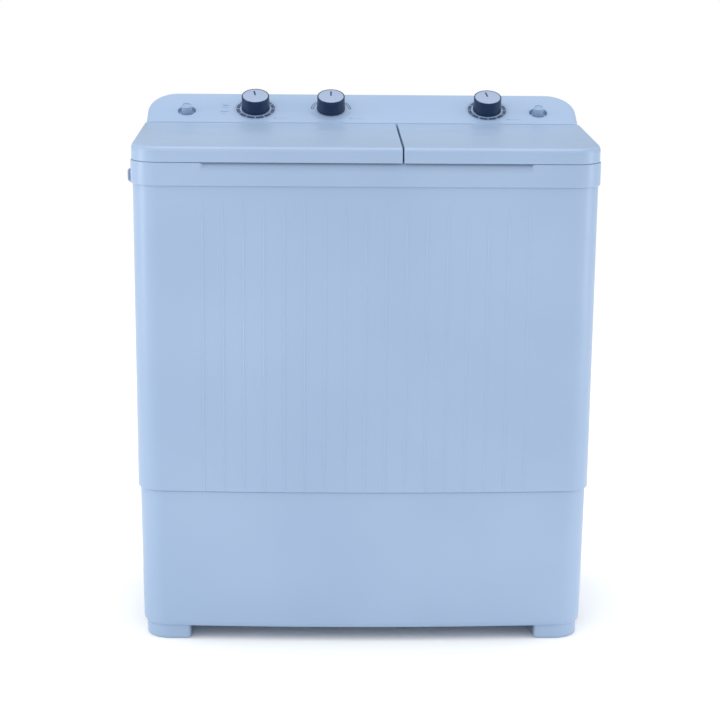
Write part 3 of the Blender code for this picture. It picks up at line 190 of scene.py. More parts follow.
def start_material(name, base, roughness, metallic=0.0, ior=1.5):
    """A material with its shader's fixed values set, and the coordinates that its patterns use."""
    material = bpy.data.materials.new(name)
    material.use_nodes = True
    tree = material.node_tree
    shader = tree.nodes["Principled BSDF"]
    shader.inputs["Base Color"].default_value = linear(base)
    shader.inputs["Roughness"].default_value = roughness
    shader.inputs["Metallic"].default_value = metallic
    if not metallic:
        shader.inputs["IOR"].default_value = ior
    material.diffuse_color = linear(base)
    place = add_node(tree, "ShaderNodeTexCoord").outputs["Object"]
    return material, tree, shader, place


def patches(tree, place, size, detail=3.0, stretch=(1, 1, 1)):
    """Soft noise whose patches are about size metres across."""
    scaled = add_node(tree, "ShaderNodeMapping", [("Vector", place)], [("Scale", stretch)])
    return add_node(tree, "ShaderNodeTexNoise", [("Vector", scaled.outputs[0])],
                    [("Scale", 1 / size), ("Detail", detail)]).outputs["Fac"]


def colour_between(tree, factor, first, second, low=0.3, high=0.7):
    ramp = add_node(tree, "ShaderNodeValToRGB", [("Fac", factor)])
    ramp.color_ramp.elements[0].position = low
    ramp.color_ramp.elements[1].position = high
    ramp.color_ramp.elements[0].color = linear(first)
    ramp.color_ramp.elements[1].color = linear(second)
    return ramp.outputs["Color"]


def value_between(tree, factor, low, high):
    return add_node(tree, "ShaderNodeMapRange", [("Value", factor)],
                    [("From Min", 0.3), ("From Max", 0.7), ("To Min", low), ("To Max", high)]).outputs[0]


def bump(tree, shader, height, depth, strength=1.0, below=None):
    links = [("Height", height)] + ([("Normal", below)] if below else [])
    made = add_node(tree, "ShaderNodeBump", links, [("Distance", depth), ("Strength", strength)])
    tree.links.new(made.outputs[0], shader.inputs["Normal"])
    return made.outputs[0]


def moulded_plastic(name, shade, light, dark, roughness, ripple=0.00006):
    """Injection-moulded plastic: an even colour with slow drifts of shade from the melt's flow, a faint
    orange-peel ripple about 4 mm across, and wipe marks that change the gloss."""
    material, tree, shader, place = start_material(name, shade, roughness, ior=1.49)
    drift = patches(tree, place, 0.30, 2.0)
    tree.links.new(colour_between(tree, drift, dark, light), shader.inputs["Base Color"])
    wipes = patches(tree, place, 0.055, 4.0, (0.45, 1, 1))
    gloss = value_between(tree, wipes, roughness - 0.04, roughness + 0.05)
    tree.links.new(gloss, shader.inputs["Roughness"])
    peel = bump(tree, shader, patches(tree, place, 0.004, 1.0), ripple, 0.5)
    bump(tree, shader, patches(tree, place, 0.0009, 1.0), ripple / 4, 0.4, peel)
    return material


def rubber(name):
    """Moulded nitrile rubber: matte near-black with a fine mould grain and paler handled patches."""
    material, tree, shader, place = start_material(name, "#1B1C1E", 0.75, ior=1.52)
    worn = patches(tree, place, 0.020, 4.0)
    tree.links.new(colour_between(tree, worn, "#161719", "#2A2B2D"), shader.inputs["Base Color"])
    bump(tree, shader, patches(tree, place, 0.0008, 2.0), 0.0001, 0.6)
    return material


def zinc_plate(name):
    """Zinc-plated pressed steel: a cool bright coat whose crystals, about 6 mm across, differ in shade."""
    material, tree, shader, place = start_material(name, "#A9ADB2", 0.38, 1.0)
    crystals = add_node(tree, "ShaderNodeTexVoronoi", [("Vector", place)], [("Scale", 160.0)])
    shade = add_node(tree, "ShaderNodeSeparateColor", [("Color", crystals.outputs["Color"])]).outputs[0]
    tree.links.new(colour_between(tree, shade, "#979BA0", "#B8BCC0", 0, 1), shader.inputs["Base Color"])
    tree.links.new(value_between(tree, shade, 0.32, 0.44), shader.inputs["Roughness"])
    return material


def motor_paint(name):
    """Dipped grey enamel on steel: satin, with a slight pebble and dust in the hollows."""
    material, tree, shader, place = start_material(name, "#4B5055", 0.45, ior=1.5)
    dust = patches(tree, place, 0.035, 5.0)
    tree.links.new(colour_between(tree, dust, "#44494E", "#595E62"), shader.inputs["Base Color"])
    tree.links.new(value_between(tree, dust, 0.40, 0.60), shader.inputs["Roughness"])
    bump(tree, shader, patches(tree, place, 0.0022, 1.0), 0.0001, 0.5)
    return material


def brushed_stainless(name):
    """Rolled and brushed stainless: bright, with hairlines round the drum that spread the highlight.
    Real brush marks are 0.1 mm wide; they are drawn 0.8 mm wide so that they show."""
    material, tree, shader, place = start_material(name, "#C4C7CA", 0.28, 1.0)
    lines = patches(tree, place, 0.030, 6.0, (1, 1, 38))
    tree.links.new(colour_between(tree, lines, "#B9BCBF", "#CFD1D4"), shader.inputs["Base Color"])
    tree.links.new(value_between(tree, lines, 0.22, 0.36), shader.inputs["Roughness"])
    bump(tree, shader, lines, 0.00004, 0.5)
    return material


def cast_alloy(name):
    """Die-cast aluminium: dull grey metal with a sandy skin and darker flow marks."""
    material, tree, shader, place = start_material(name, "#9A9C9E", 0.45, 1.0)
    flow = patches(tree, place, 0.018, 5.0)
    tree.links.new(colour_between(tree, flow, "#86888A", "#A8AAAC"), shader.inputs["Base Color"])
    bump(tree, shader, patches(tree, place, 0.0012, 2.0), 0.00012, 0.6)
    return material


def pad_ink(name, shade, worn):
    """Pad-printed ink: thin and flat, a little broken up where it has been rubbed."""
    material, tree, shader, place = start_material(name, shade, 0.42, ior=1.5)
    rubbed = patches(tree, place, 0.004, 3.0)
    tree.links.new(colour_between(tree, rubbed, shade, worn, 0.45, 0.75), shader.inputs["Base Color"])
    return material


def studio_paper(name):
    """Seamless white backdrop paper: matte, with no visible texture but a faint fibre grain."""
    material, tree, shader, place = start_material(name, "#FFFFFF", 0.9, ior=1.0)
    bump(tree, shader, patches(tree, place, 0.003, 2.0), 0.00005, 0.2)
    return material


FINISHES = {
    "blue_plastic": moulded_plastic("glossy_blue_polypropylene", "#94AAC7", "#97ADCA", "#90A7C4", 0.34),
    "pale_plastic": moulded_plastic("pale_blue_abs", "#91A2BC", "#94A5BF", "#8D9EB9", 0.36),
    "navy_plastic": moulded_plastic("navy_abs", "#10294A", "#132D4F", "#0D2545", 0.32),
    "white_plastic": moulded_plastic("white_polypropylene", "#DDE3EA", "#E2E8EE", "#D6DDE5", 0.40),
    "grey_plastic": moulded_plastic("grey_polypropylene", "#8E979F", "#949DA5", "#868F98", 0.48),
    "black_rubber": rubber("nitrile_rubber"),
    "zinc_steel": zinc_plate("zinc_plated_steel"),
    "painted_steel": motor_paint("enamelled_steel"),
    "stainless": brushed_stainless("brushed_stainless_steel"),
    "cast_alloy": cast_alloy("die_cast_aluminium"),
}
NAVY_INK = pad_ink("navy_pad_print", "#33496B", "#4A6186")
PALE_INK = pad_ink("faint_pad_print", "#6F89AE", "#7F98BB")
POINTER_INK = pad_ink("pointer_pad_print", "#22375A", "#2B4166")


# Outlines in plan, counterclockwise from the left end of the front edge

def rounded_rectangle(left, right, front, rear, radii, bow=0.0, stations=(), rear_stations=()):
    """Radii are front left, front right, rear right and rear left."""
    front_left, front_right, rear_right, rear_left = radii
    start, end = left + front_left, right - front_right
    even = [start + (end - start) * step / 24 for step in range(25)]
    middle, half = (start + end) / 2, (end - start) / 2
    edge = sorted(set(even if bow else [start, end]) | set(stations))
    points = [(x, front - bow * (1 - ((x - middle) / half) ** 2)) for x in edge]
    corners = (
        (right - front_right, front + front_right, front_right, -90),
        (right - rear_right, rear - rear_right, rear_right, 0),
        (left + rear_left, rear - rear_left, rear_left, 90),
        (left + front_left, front + front_left, front_left, 180),
    )
    for number, (x, y, radius, first_angle) in enumerate(corners):
        for step in range(CORNER_STEPS + 1):
            if (number == 0 and step == 0) or (number == 3 and step == CORNER_STEPS):
                continue
            angle = math.radians(first_angle + 90 * step / CORNER_STEPS)
            points.append((x + radius * math.cos(angle), y + radius * math.sin(angle)))
        if number == 1:
            points += [(x, rear) for x in sorted(rear_stations, reverse=True)]
    return points


def inset_rectangle(limits, radii, inset, smallest=0.0):
    """A rounded rectangle drawn in by an inset; limits are left, right, front and rear."""
    left, right, front, rear = limits
    radii = [max(radius - inset, smallest) for radius in radii]
    return rounded_rectangle(left + inset, right - inset, front + inset, rear - inset, radii)


def circle(x, y, radius, steps=ROUND_STEPS):
    angles = [2 * math.pi * step / steps for step in range(steps)]
    return [(x + radius * math.cos(a), y + radius * math.sin(a)) for a in angles]


# Meshes

def ring(shape, points, level):
    """One closed row of vertices; the level is a number or a function of x and y."""
    height = level if callable(level) else lambda x, y: level
    return [shape.verts.new((x, y, height(x, y))) for x, y in points]


def skin(shape, rows, keep=None):
    """Faces between rows of the same number of vertices, apart from those that keep() refuses."""
    for lower, upper in zip(rows, rows[1:]):
        for index, corner in enumerate(lower):
            following = (index + 1) % len(lower)
            corners = (corner, lower[following], upper[following], upper[index])
            middle = sum((vertex.co for vertex in corners), Vector()) / 4
            if keep is None or keep(middle):
                shape.faces.new(corners)


def strip(shape, rows):
    """Faces between open rows, which do not run back to their first vertex."""
    for lower, upper in zip(rows, rows[1:]):
        for index in range(len(lower) - 1):
            shape.faces.new((lower[index], lower[index + 1], upper[index + 1], upper[index]))


def row_edges(shape, row):
    pairs = zip(row, row[1:] + row[:1])
    return [shape.edges.get(pair) or shape.edges.new(pair) for pair in pairs]


def fill(shape, outer, holes=()):
    edges = [edge for row in (outer, *holes) for edge in row_edges(shape, row)]
    bmesh.ops.triangle_fill(shape, use_beauty=True, use_dissolve=False, edges=edges)


def piece(name, shape, finish, body="cabinet", place=(0, 0, 0), tilt=(0, 0, 0), crease=32, nodes=()):
    """A finished object: smooth shading up to the crease angle, its finish, and the body it rides on."""
    bmesh.ops.recalc_face_normals(shape, faces=shape.faces)
    mesh = bpy.data.meshes.new(name)
    shape.to_mesh(mesh)
    shape.free()
    made = bpy.data.objects.new(name, mesh)
    bpy.context.scene.collection.objects.link(made)
    made.location = (place[0] + MIDDLE, place[1], place[2])
    made.rotation_euler = tilt
    shade_smooth(made, crease)
    dress(made, finish)
    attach(made, body)
    if nodes:
        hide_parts(*nodes)
    return made


def shade_smooth(made, crease):
    mesh = made.data
    mesh.polygons.foreach_set("use_smooth", [True] * len(mesh.polygons))
    mesh.set_sharp_from_angle(angle=math.radians(crease))
    even = made.modifiers.new("even_normals", "WEIGHTED_NORMAL")
    even.keep_sharp = True


def dress(made, finish):
    """The finish is a slot of the record or a material of its own."""
    made.data.materials.clear()
    if isinstance(finish, str):
        made.data.materials.append(FINISHES[finish])
    else:
        made.data.materials.append(finish)


def cut(made, shapes):
    """Takes solid shapes, given in the piece's own space, out of it."""
    cutters = []
    for number, shape in enumerate(shapes):
        mesh = bpy.data.meshes.new("cutter")
        shape.to_mesh(mesh)
        shape.free()
        cutter = bpy.data.objects.new("cutter", mesh)
        bpy.context.scene.collection.objects.link(cutter)
        cutter.matrix_world = made.matrix_world
        step = made.modifiers.new(f"cut_{number}", "BOOLEAN")
        step.object = cutter
        step.solver = "EXACT"
        cutters.append(cutter)
    weighted = made.modifiers["even_normals"]
    made.modifiers.remove(weighted)
    bpy.context.view_layer.update()
    graph = bpy.context.evaluated_depsgraph_get()
    result = bpy.data.meshes.new_from_object(made.evaluated_get(graph))
    made.modifiers.clear()
    made.data = result
    for cutter in cutters:
        bpy.data.objects.remove(cutter)
    shade_smooth(made, 32)


def box_shape(low, high):
    shape = bmesh.new()
    bmesh.ops.create_cube(shape, size=1.0)
    size = [h - l for l, h in zip(low, high)]
    bmesh.ops.scale(shape, vec=size, verts=shape.verts)
    bmesh.ops.translate(shape, vec=[(l + h) / 2 for l, h in zip(low, high)], verts=shape.verts)
    return shape


def turned_shape(profile, steps=ROUND_STEPS, closed=False):
    """Revolves (radius, height) points about Z. Radius 0 points are at the ends only."""
    shape = bmesh.new()
    rows = []
    for radius, height in profile:
        if radius == 0:
            rows.append([shape.verts.new((0, 0, height))])
        else:
            rows.append([shape.verts.new((x, y, height)) for x, y in circle(0, 0, radius, steps)])
    join_turned(shape, rows + ([rows[0]] if closed else []), steps)
    return shape


def join_turned(shape, rows, steps):
    """Faces between rows round an axis. A row of one vertex is a tip on the axis."""
    for lower, upper in zip(rows, rows[1:]):
        for index in range(steps):
            following = (index + 1) % steps
            low = [lower[0]] if len(lower) == 1 else [lower[index], lower[following]]
            high = [upper[0]] if len(upper) == 1 else [upper[following], upper[index]]
            shape.faces.new(low + high)


def fillet(radius, steps=FILLET_STEPS):
    """(share, drop) pairs round a quarter fillet, from the wall to the top."""
    for step in range(steps + 1):
        angle = math.radians(90 * step / steps)
        yield 1 - math.cos(angle), radius * (1 - math.sin(angle))


# Base, feet and cabinet

def base_points(level, inset=0.0):
    share = (level - BASE_BOTTOM) / (BASE_TOP - BASE_BOTTOM)
    half = BASE_BOTTOM_HALF_WIDTH + share * (BASE_TOP_HALF_WIDTH - BASE_BOTTOM_HALF_WIDTH) - inset
    depth = BASE_HALF_DEPTH - inset
    return rounded_rectangle(-half, half, -depth, depth, [CORNER - FRAME_WALL - inset] * 4, FRONT_BOW)


def base():
    shape = bmesh.new()
    rows = []
    for share, drop in fillet(0.0045):
        rows.insert(0, ring(shape, base_points(BASE_BOTTOM, 0.0045 * share), BASE_BOTTOM + drop * 2.6))
    rows.append(ring(shape, base_points(BASE_TOP - 0.0008), BASE_TOP - 0.0008))
    rows.append(ring(shape, base_points(BASE_TOP, 0.0006), BASE_TOP))
    rows.append(ring(shape, base_points(BASE_TOP, FRAME_WALL), BASE_TOP))
    skin(shape, rows)
    fill(shape, rows[0])
    made = piece("base_shell", shape, "blue_plastic", nodes=("base",))
    exits = []
    for x, level, radius in REAR_EXITS:
        hole = turned_shape([(0, -0.02), (radius, -0.02), (radius, 0.02), (0, 0.02)], 32)
        turn = Matrix.Translation((x, BASE_HALF_DEPTH, level)) @ Matrix.Rotation(math.pi / 2, 4, "X")
        hole.transform(turn)
        exits.append(hole)
    return made, exits


def feet():
    for end_name, end in (("front", -1), ("rear", 1)):
        for side_name, side in (("left", -1), ("right", 1)):
            name = f"foot_{end_name}_{side_name}"
            low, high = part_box(name)
            limits = [low.x - MIDDLE, high.x - MIDDLE, low.y, high.y]
            corners = ((-1, -1), (1, -1), (1, 1), (-1, 1))
            radii = [0.045 if corner == (side, end) else 0.006 for corner in corners]
            shape = bmesh.new()
            rows = []
            for share, drop in fillet(0.0035, 4):
                rows.insert(0, ring(shape, inset_rectangle(limits, radii, 0.0035 * share), drop))
            rows.append(ring(shape, rounded_rectangle(*limits, radii), high.z))
            skin(shape, rows)
            shape.faces.new(rows[0])
            shape.faces.new(rows[-1])
            piece(name + "_block", shape, "blue_plastic", nodes=(name,))


def cabinet_points(level, inset=0.0):
    share = (level - CABINET_BOTTOM) / (BAND_BOTTOM - CABINET_BOTTOM)
    half = CABINET_BOTTOM_HALF_WIDTH + share * (CABINET_TOP_HALF_WIDTH - CABINET_BOTTOM_HALF_WIDTH)
    half = min(half, CABINET_TOP_HALF_WIDTH) - inset
    depth = CABINET_HALF_DEPTH - inset
    bow = FRONT_BOW * max(0.0, 1 - share) + 0.00001
    radii = [CORNER - FRAME_WALL - inset] * 4
    return rounded_rectangle(-half, half, -depth, depth, radii, bow, rear_stations=(-0.280, 0.280))


def in_rear_opening(middle):
    return middle.y > CABINET_HALF_DEPTH - 0.005 and abs(middle.x) < 0.279 and 0.352 < middle.z < 0.736


def cabinet():
    shape = bmesh.new()
    rows = [ring(shape, cabinet_points(CABINET_BOTTOM, WALL), CABINET_BOTTOM + 0.030),
            ring(shape, cabinet_points(CABINET_BOTTOM, WALL), CABINET_BOTTOM),
            ring(shape, cabinet_points(CABINET_BOTTOM, 0.0006), CABINET_BOTTOM)]
    for level in (CABINET_BOTTOM + 0.0008, 0.352, 0.736, BAND_BOTTOM, BAND_BOTTOM + 0.012):
        rows.append(ring(shape, cabinet_points(level), level))
    skin(shape, rows, lambda middle: not in_rear_opening(middle))
    piece("cabinet_shell", shape, "blue_plastic", nodes=("cabinet",))


def front_of_cabinet(x, level):
    """Y of the cabinet's front face at a place."""
    share = (level - CABINET_BOTTOM) / (BAND_BOTTOM - CABINET_BOTTOM)
    half = CABINET_BOTTOM_HALF_WIDTH - CORNER + FRAME_WALL
    return -CABINET_HALF_DEPTH - FRONT_BOW * max(0.0, 1 - share) * (1 - (x / half) ** 2)


def front_ribs():
    """Slim raised ribs down the front, one piece each, fading out at the top."""
    section = [(-1.0, -0.4), (-0.8, 0.25), (-0.35, 0.85), (0.0, 1.0), (0.35, 0.85), (0.8, 0.25), (1.0, -0.4)]
    levels = [CABINET_BOTTOM + 0.0012 + (RIB_TOP - CABINET_BOTTOM) * step / 24 for step in range(25)]
    for number in range(RIBS):
        x = RIB_FIRST + number * RIB_PITCH
        shape = bmesh.new()
        rows = []
        for level in levels:
            fade = min(1.0, (RIB_TOP + 0.002 - level) / 0.030)
            row = []
            for across, out in section:
                y = front_of_cabinet(x, level) - out * RIB_HEIGHT * max(fade, 0.05)
                row.append(shape.verts.new((x + across * RIB_HALF_WIDTH * (0.5 + 0.5 * fade), y, level)))
            rows.append(row)
        strip(shape, rows)
        piece(f"cabinet_rib_{number + 1:02d}", shape, "blue_plastic", crease=60)


# Top frame

def band_points(inset=0.0, stations=()):
    half, depth = BAND_HALF_WIDTH - inset, BAND_HALF_DEPTH - inset
    return rounded_rectangle(-half, half, -depth, depth, [CORNER - inset] * 4, 0.0, stations)


def recess_stations():
    steps = [RECESS_END * step / 6 for step in range(7)]
    return [RECESS_LEFT + step for step in steps] + [RECESS_RIGHT - step for step in steps]


def scooped(points, share):
    """The front wall leans back into the finger recess; share is 0 at its foot and 1 at the deck."""
    moved = []
    for x, y in points:
        reach = min(x - RECESS_LEFT, RECESS_RIGHT - x) / RECESS_END
        reach = max(0.0, min(1.0, reach))
        ease = reach * reach * (3 - 2 * reach)
        moved.append((x, y + RECESS_DEPTH * share * ease) if y < -0.2 else (x, y))
    return moved


def deck_openings():
    limits = (TUB[0] + OPENING_INSET, TUB[1] - OPENING_INSET, TUB[2] + OPENING_INSET, OPENING_REAR)
    return [rounded_rectangle(*limits, [TUB_CORNER] * 4), circle(*SPIN, SPIN_OPENING)]


def rounded_opening(shape, points, level, drop):
    """A rolled edge round an opening, down to a rim below the deck. Returns the row on the deck."""
    middle = Vector((sum(x for x, y in points) / len(points), sum(y for x, y in points) / len(points)))
    rows = []
    for share, fall in fillet(0.0025, 4):
        row = []
        for x, y in points:
            outward = (Vector((x, y)) - middle).normalized() * 0.0025 * share
            row.append(shape.verts.new((x + outward.x, y + outward.y, level - 0.0025 + (0.0025 - fall))))
        rows.append(row)
    rows.insert(0, [shape.verts.new((x, y, level - drop)) for x, y in points])
    skin(shape, rows)
    return rows[-1]


def top_frame():
    shape = bmesh.new()
    stations = recess_stations()
    plain = band_points(stations=stations)
    foot = DECK_TOP - RECESS_HEIGHT
    rows = [ring(shape, band_points(FRAME_WALL, stations), BAND_BOTTOM + 0.004),
            ring(shape, band_points(FRAME_WALL, stations), BAND_BOTTOM),
            ring(shape, band_points(0.0007, stations), BAND_BOTTOM),
            ring(shape, band_points(0.0, stations), BAND_BOTTOM + 0.0009),
            ring(shape, plain, foot)]
    for step in range(1, 7):
        share = step / 6
        rows.append(ring(shape, scooped(plain, share ** 1.5), foot + (RECESS_HEIGHT - 0.0008) * share))
    rows.append(ring(shape, scooped(band_points(0.0008, stations), 1.0), DECK_TOP))
    skin(shape, rows)
    holes = [rounded_opening(shape, points, DECK_TOP, 0.0115) for points in deck_openings()]
    fill(shape, rows[-1], holes)
    piece("top_frame_shell", shape, "blue_plastic", nodes=("top_frame",))


# Lids

def lid_top(y):
    return LID_FRONT_TOP + (LID_REAR_TOP - LID_FRONT_TOP) * (y - LID_FRONT) / (LID_REAR - LID_FRONT)


def lid_bottom(x, y):
    return DECK_TOP + LID_GAP if y < LID_SKIRT_END - 0.002 else LID_REAR_TOP - LID_REAR_SKIRT


def lid_row(shape, side, share, level, wall=0.0):
    outer = side * (BAND_HALF_WIDTH - LID_SETBACK - share * LID_SIDE_INSET - wall)
    inner = LID_SPLIT + side * (LID_SPLIT_GAP / 2 + share * LID_SPLIT_INSET + wall)
    left, right = sorted((outer, inner))
    front, rear = LID_FRONT + share * LID_FILLET + wall, LID_REAR - share * LID_REAR_INSET - wall
    corner, small = CORNER - share * LID_SIDE_INSET - wall, max(LID_SMALL_CORNER - wall, 0.0006)
    radii = (corner, small, small, small) if side < 0 else (small, corner, small, small)
    points = rounded_rectangle(left, right, front, rear, radii)
    pair = (LID_SKIRT_END - 0.004, LID_SKIRT_END)
    right_edge = 2 + CORNER_STEPS
    left_edge = right_edge + 2 * (CORNER_STEPS + 1)
    points = (points[:right_edge] + [(right, y) for y in pair] + points[right_edge:left_edge]
              + [(left, y) for y in reversed(pair)] + points[left_edge:])
    return ring(shape, points, level)


def lid(name, side, blocks):
    def below_top(drop):
        return lambda x, y: lid_top(y) - drop

    def above_bottom(rise):
        return lambda x, y: lid_bottom(x, y) + rise

    shape = bmesh.new()
    rows = [lid_row(shape, side, 1.0, below_top(WALL), WALL),
            lid_row(shape, side, 0.0, below_top(LID_FILLET), WALL),
            lid_row(shape, side, 0.0, lid_bottom, WALL),
            lid_row(shape, side, 0.0, lid_bottom, 0.0006),
            lid_row(shape, side, 0.0, above_bottom(0.0007))]
    for share, drop in fillet(LID_FILLET):
        rows.append(lid_row(shape, side, share, below_top(drop)))
    skin(shape, rows)
    fill(shape, rows[0])
    fill(shape, rows[-1])
    made = piece(name + "_shell", shape, "blue_plastic", name, nodes=(name,))
    pockets = []
    for x in blocks:
        low = (x - HINGE_POCKET_HALF, HINGE_Y - 0.0052, HINGE_Z - 0.014)
        pockets.append(box_shape(low, (x + HINGE_POCKET_HALF, LID_REAR + 0.002, HINGE_Z + 0.0048)))
    cut(made, pockets)
    lid_barrels(name, side, blocks)
    lid_ribs(name, side)


def lid_barrels(name, side, blocks):
    """The round hinge barrel along the lid's rear, broken at the hinge blocks."""
    ends = sorted((side * (BAND_HALF_WIDTH - LID_SETBACK - 0.012), LID_SPLIT + side * 0.0051))
    edges = [ends[0]] + [x + half for x in sorted(blocks) for half in (-HINGE_POCKET_HALF, HINGE_POCKET_HALF)]
    edges.append(ends[1])
    for number, (left, right) in enumerate(zip(edges[::2], edges[1::2]), 1):
        length = right - left
        rim = HINGE_BARREL - 0.0006
        profile = [(0, 0), (rim, 0), (HINGE_BARREL, 0.0006), (HINGE_BARREL, length - 0.0006), (rim, length),
                   (0, length)]
        shape = turned_shape(profile, 24)
        piece(f"{name}_barrel_{number}", shape, "blue_plastic", name, (left, HINGE_Y, HINGE_Z),
              (0, math.pi / 2, 0))


def lid_ribs(name, side):
    """Stiffening ribs moulded under the lid, seen when it stands open."""
    outer, inner = side * (BAND_HALF_WIDTH - 0.016), LID_SPLIT + side * 0.010
    left, right = sorted((outer, inner))
    shape = bmesh.new()
    lines = [((left, y), (right, y)) for y in (-0.140, -0.060, 0.020)]
    thirds = 3 if side < 0 else 2
    for step in range(1, thirds + 1):
        x = left + (right - left) * step / (thirds + 1)
        lines.append(((x, -0.205), (x, 0.060)))
    for (x1, y1), (x2, y2) in lines:
        low = (min(x1, x2) - 0.0008, min(y1, y2) - 0.0008)
        high = (max(x1, x2) + 0.0008, max(y1, y2) + 0.0008)
        under = [(x, y) for y in (low[1], high[1]) for x in (low[0], high[0])]
        verts = [shape.verts.new((x, y, lid_top(y) - depth)) for depth in (0.0075, WALL) for x, y in under]
        for corners in ((0, 2, 3, 1), (4, 5, 7, 6), (0, 1, 5, 4), (1, 3, 7, 5), (3, 2, 6, 7), (2, 0, 4, 6)):
            shape.faces.new([verts[index] for index in corners])
    piece(name + "_ribs", shape, "blue_plastic", name)


# Control panel, its prints, knobs and inlets

def panel_height(y):
    return LID_REAR_TOP + (y - PANEL_FRONT) * math.tan(PANEL_TILT)


def on_panel(x, y, lift=0.0):
    """A point at a lift above the sloping face, along its normal."""
    return (x, y - lift * math.sin(PANEL_TILT), panel_height(y) + lift * math.cos(PANEL_TILT))


def panel_row(shape, share, level, inset=0.0, front=PANEL_FRONT):
    half = PANEL_HALF_WIDTH + share * (PANEL_CREST_HALF_WIDTH - PANEL_HALF_WIDTH) - inset
    rear = PANEL_REAR + share * (PANEL_CREST - PANEL_REAR) - inset
    radii = [0.004, 0.004, PANEL_CORNER - inset, PANEL_CORNER - inset]
    return ring(shape, rounded_rectangle(-half, half, front + inset * 0.3, rear, radii), level)


def control_panel():
    def face(drop):
        return lambda x, y: panel_height(y) - drop

    shape = bmesh.new()
    rows = [panel_row(shape, 0.0, DECK_TOP + GAP, front=PANEL_TOE),
            panel_row(shape, 0.0, DECK_TOP + 0.010, front=PANEL_TOE),
            panel_row(shape, 0.08, DECK_TOP + 0.016)]
    for share, drop in fillet(PANEL_FILLET):
        rows.append(panel_row(shape, 1.0, face(drop), PANEL_FILLET * share))
    skin(shape, rows)
    holes = [inlet_hole(shape, x) for x in INLETS.values()]
    fill(shape, rows[-1], holes)
    piece("control_panel_shell", shape, "blue_plastic", nodes=("control_panel",))


def inlet_hole(shape, x):
    """A hole square to the sloping face with a short rim below it. Returns the row on the face."""
    rows = []
    for lift in (-0.010, 0.0):
        row = []
        for across, up in circle(0, 0, 0.0181):
            y = INLET_Y + up * math.cos(PANEL_TILT)
            z = panel_height(INLET_Y) + up * math.sin(PANEL_TILT)
            row.append(shape.verts.new((x + across, y - lift * math.sin(PANEL_TILT),
                                        z + lift * math.cos(PANEL_TILT))))
        rows.append(row)
    skin(shape, rows)
    return rows[-1]


def arc_print(shape, centre, inner, outer, first, last, lift=0.0):
    """A flat printed arc round a centre, between two angles in degrees."""
    steps = max(2, int(abs(last - first) / 3))
    rows = []
    for radius in (inner, outer):
        row = []
        for step in range(steps + 1):
            angle = math.radians(first + (last - first) * step / steps)
            row.append(shape.verts.new((centre[0] + radius * math.cos(angle),
                                        centre[1] + radius * math.sin(angle), lift)))
        rows.append(row)
    for index in range(steps):
        shape.faces.new((rows[0][index], rows[1][index], rows[1][index + 1], rows[0][index + 1]))


def bar_print(shape, left, right, low, high, lift=0.0):
    corners = [(left, low), (right, low), (right, high), (left, high)]
    shape.faces.new([shape.verts.new((x, y, lift)) for x, y in corners])


def printed(name, shape, ink, x):
    """Lays a print on the sloping face at a dial."""
    piece(name, shape, ink, "cabinet", on_panel(x, DIAL_Y, PRINT_LIFT), (PANEL_TILT, 0, 0))


def timer_scale(name, x):
    """Twelve dark blocks round the knob, with short minute ticks outside them."""
    shape = bmesh.new()
    for number in range(12):
        start = -90 + number * 30 + 1.6
        arc_print(shape, (0, 0), 0.0295, 0.0362, start, start + 26.8)
    printed(name + "_scale", shape, NAVY_INK, x)
    ticks = bmesh.new()
    for number in range(36):
        angle = -90 + number * 10
        arc_print(ticks, (0, 0), 0.0385, 0.0395, angle - 3.2, angle + 3.2)
    printed(name + "_ticks", ticks, PALE_INK, x)


def selector_scale(name, x):
    """Two outlined brackets at the sides of the knob, and a faint ring of dots between them."""
    shape = bmesh.new()
    for first, last in ((2, 40), (140, 178)):
        for inner, outer in ((0.0322, 0.0335), (0.0360, 0.0374)):
            arc_print(shape, (0, 0), inner, outer, first, last)
        for angle in (first, last):
            arc_print(shape, (0, 0), 0.0322, 0.0374, angle - 1.2, angle + 1.2)
    printed(name + "_scale", shape, NAVY_INK, x)
    dots = bmesh.new()
    for number in range(24):
        angle = 200 + number * 140 / 23
        arc_print(dots, (0, 0), 0.0372, 0.0381, angle - 1.4, angle + 1.4)
    printed(name + "_dots", dots, PALE_INK, x)


def dial_notes(name, x):
    """A dash and a hairline under each dial, standing in for its caption."""
    shape = bmesh.new()
    bar_print(shape, 0.034, 0.0395, -0.0350, -0.0330)
    bar_print(shape, 0.0405, 0.0615, -0.0343, -0.0337)
    bar_print(shape, -0.024, 0.023, -0.0465, -0.0457)
    printed(name + "_note", shape, PALE_INK, x)


def key_block():
    """Five short plain bars left of the wash timer, in place of its printed key."""
    shape = bmesh.new()
    rows = ((-0.064, -0.056, 0.0155, 0.0166), (-0.061, -0.050, 0.0092, 0.0128),
            (-0.064, -0.052, 0.0026, 0.0038), (-0.065, -0.050, -0.0118, -0.0094),
            (-0.062, -0.055, -0.0202, -0.0190))
    for row in rows:
        bar_print(shape, *row)
    printed("wash_timer_key", shape, PALE_INK, DIALS["wash_timer"])


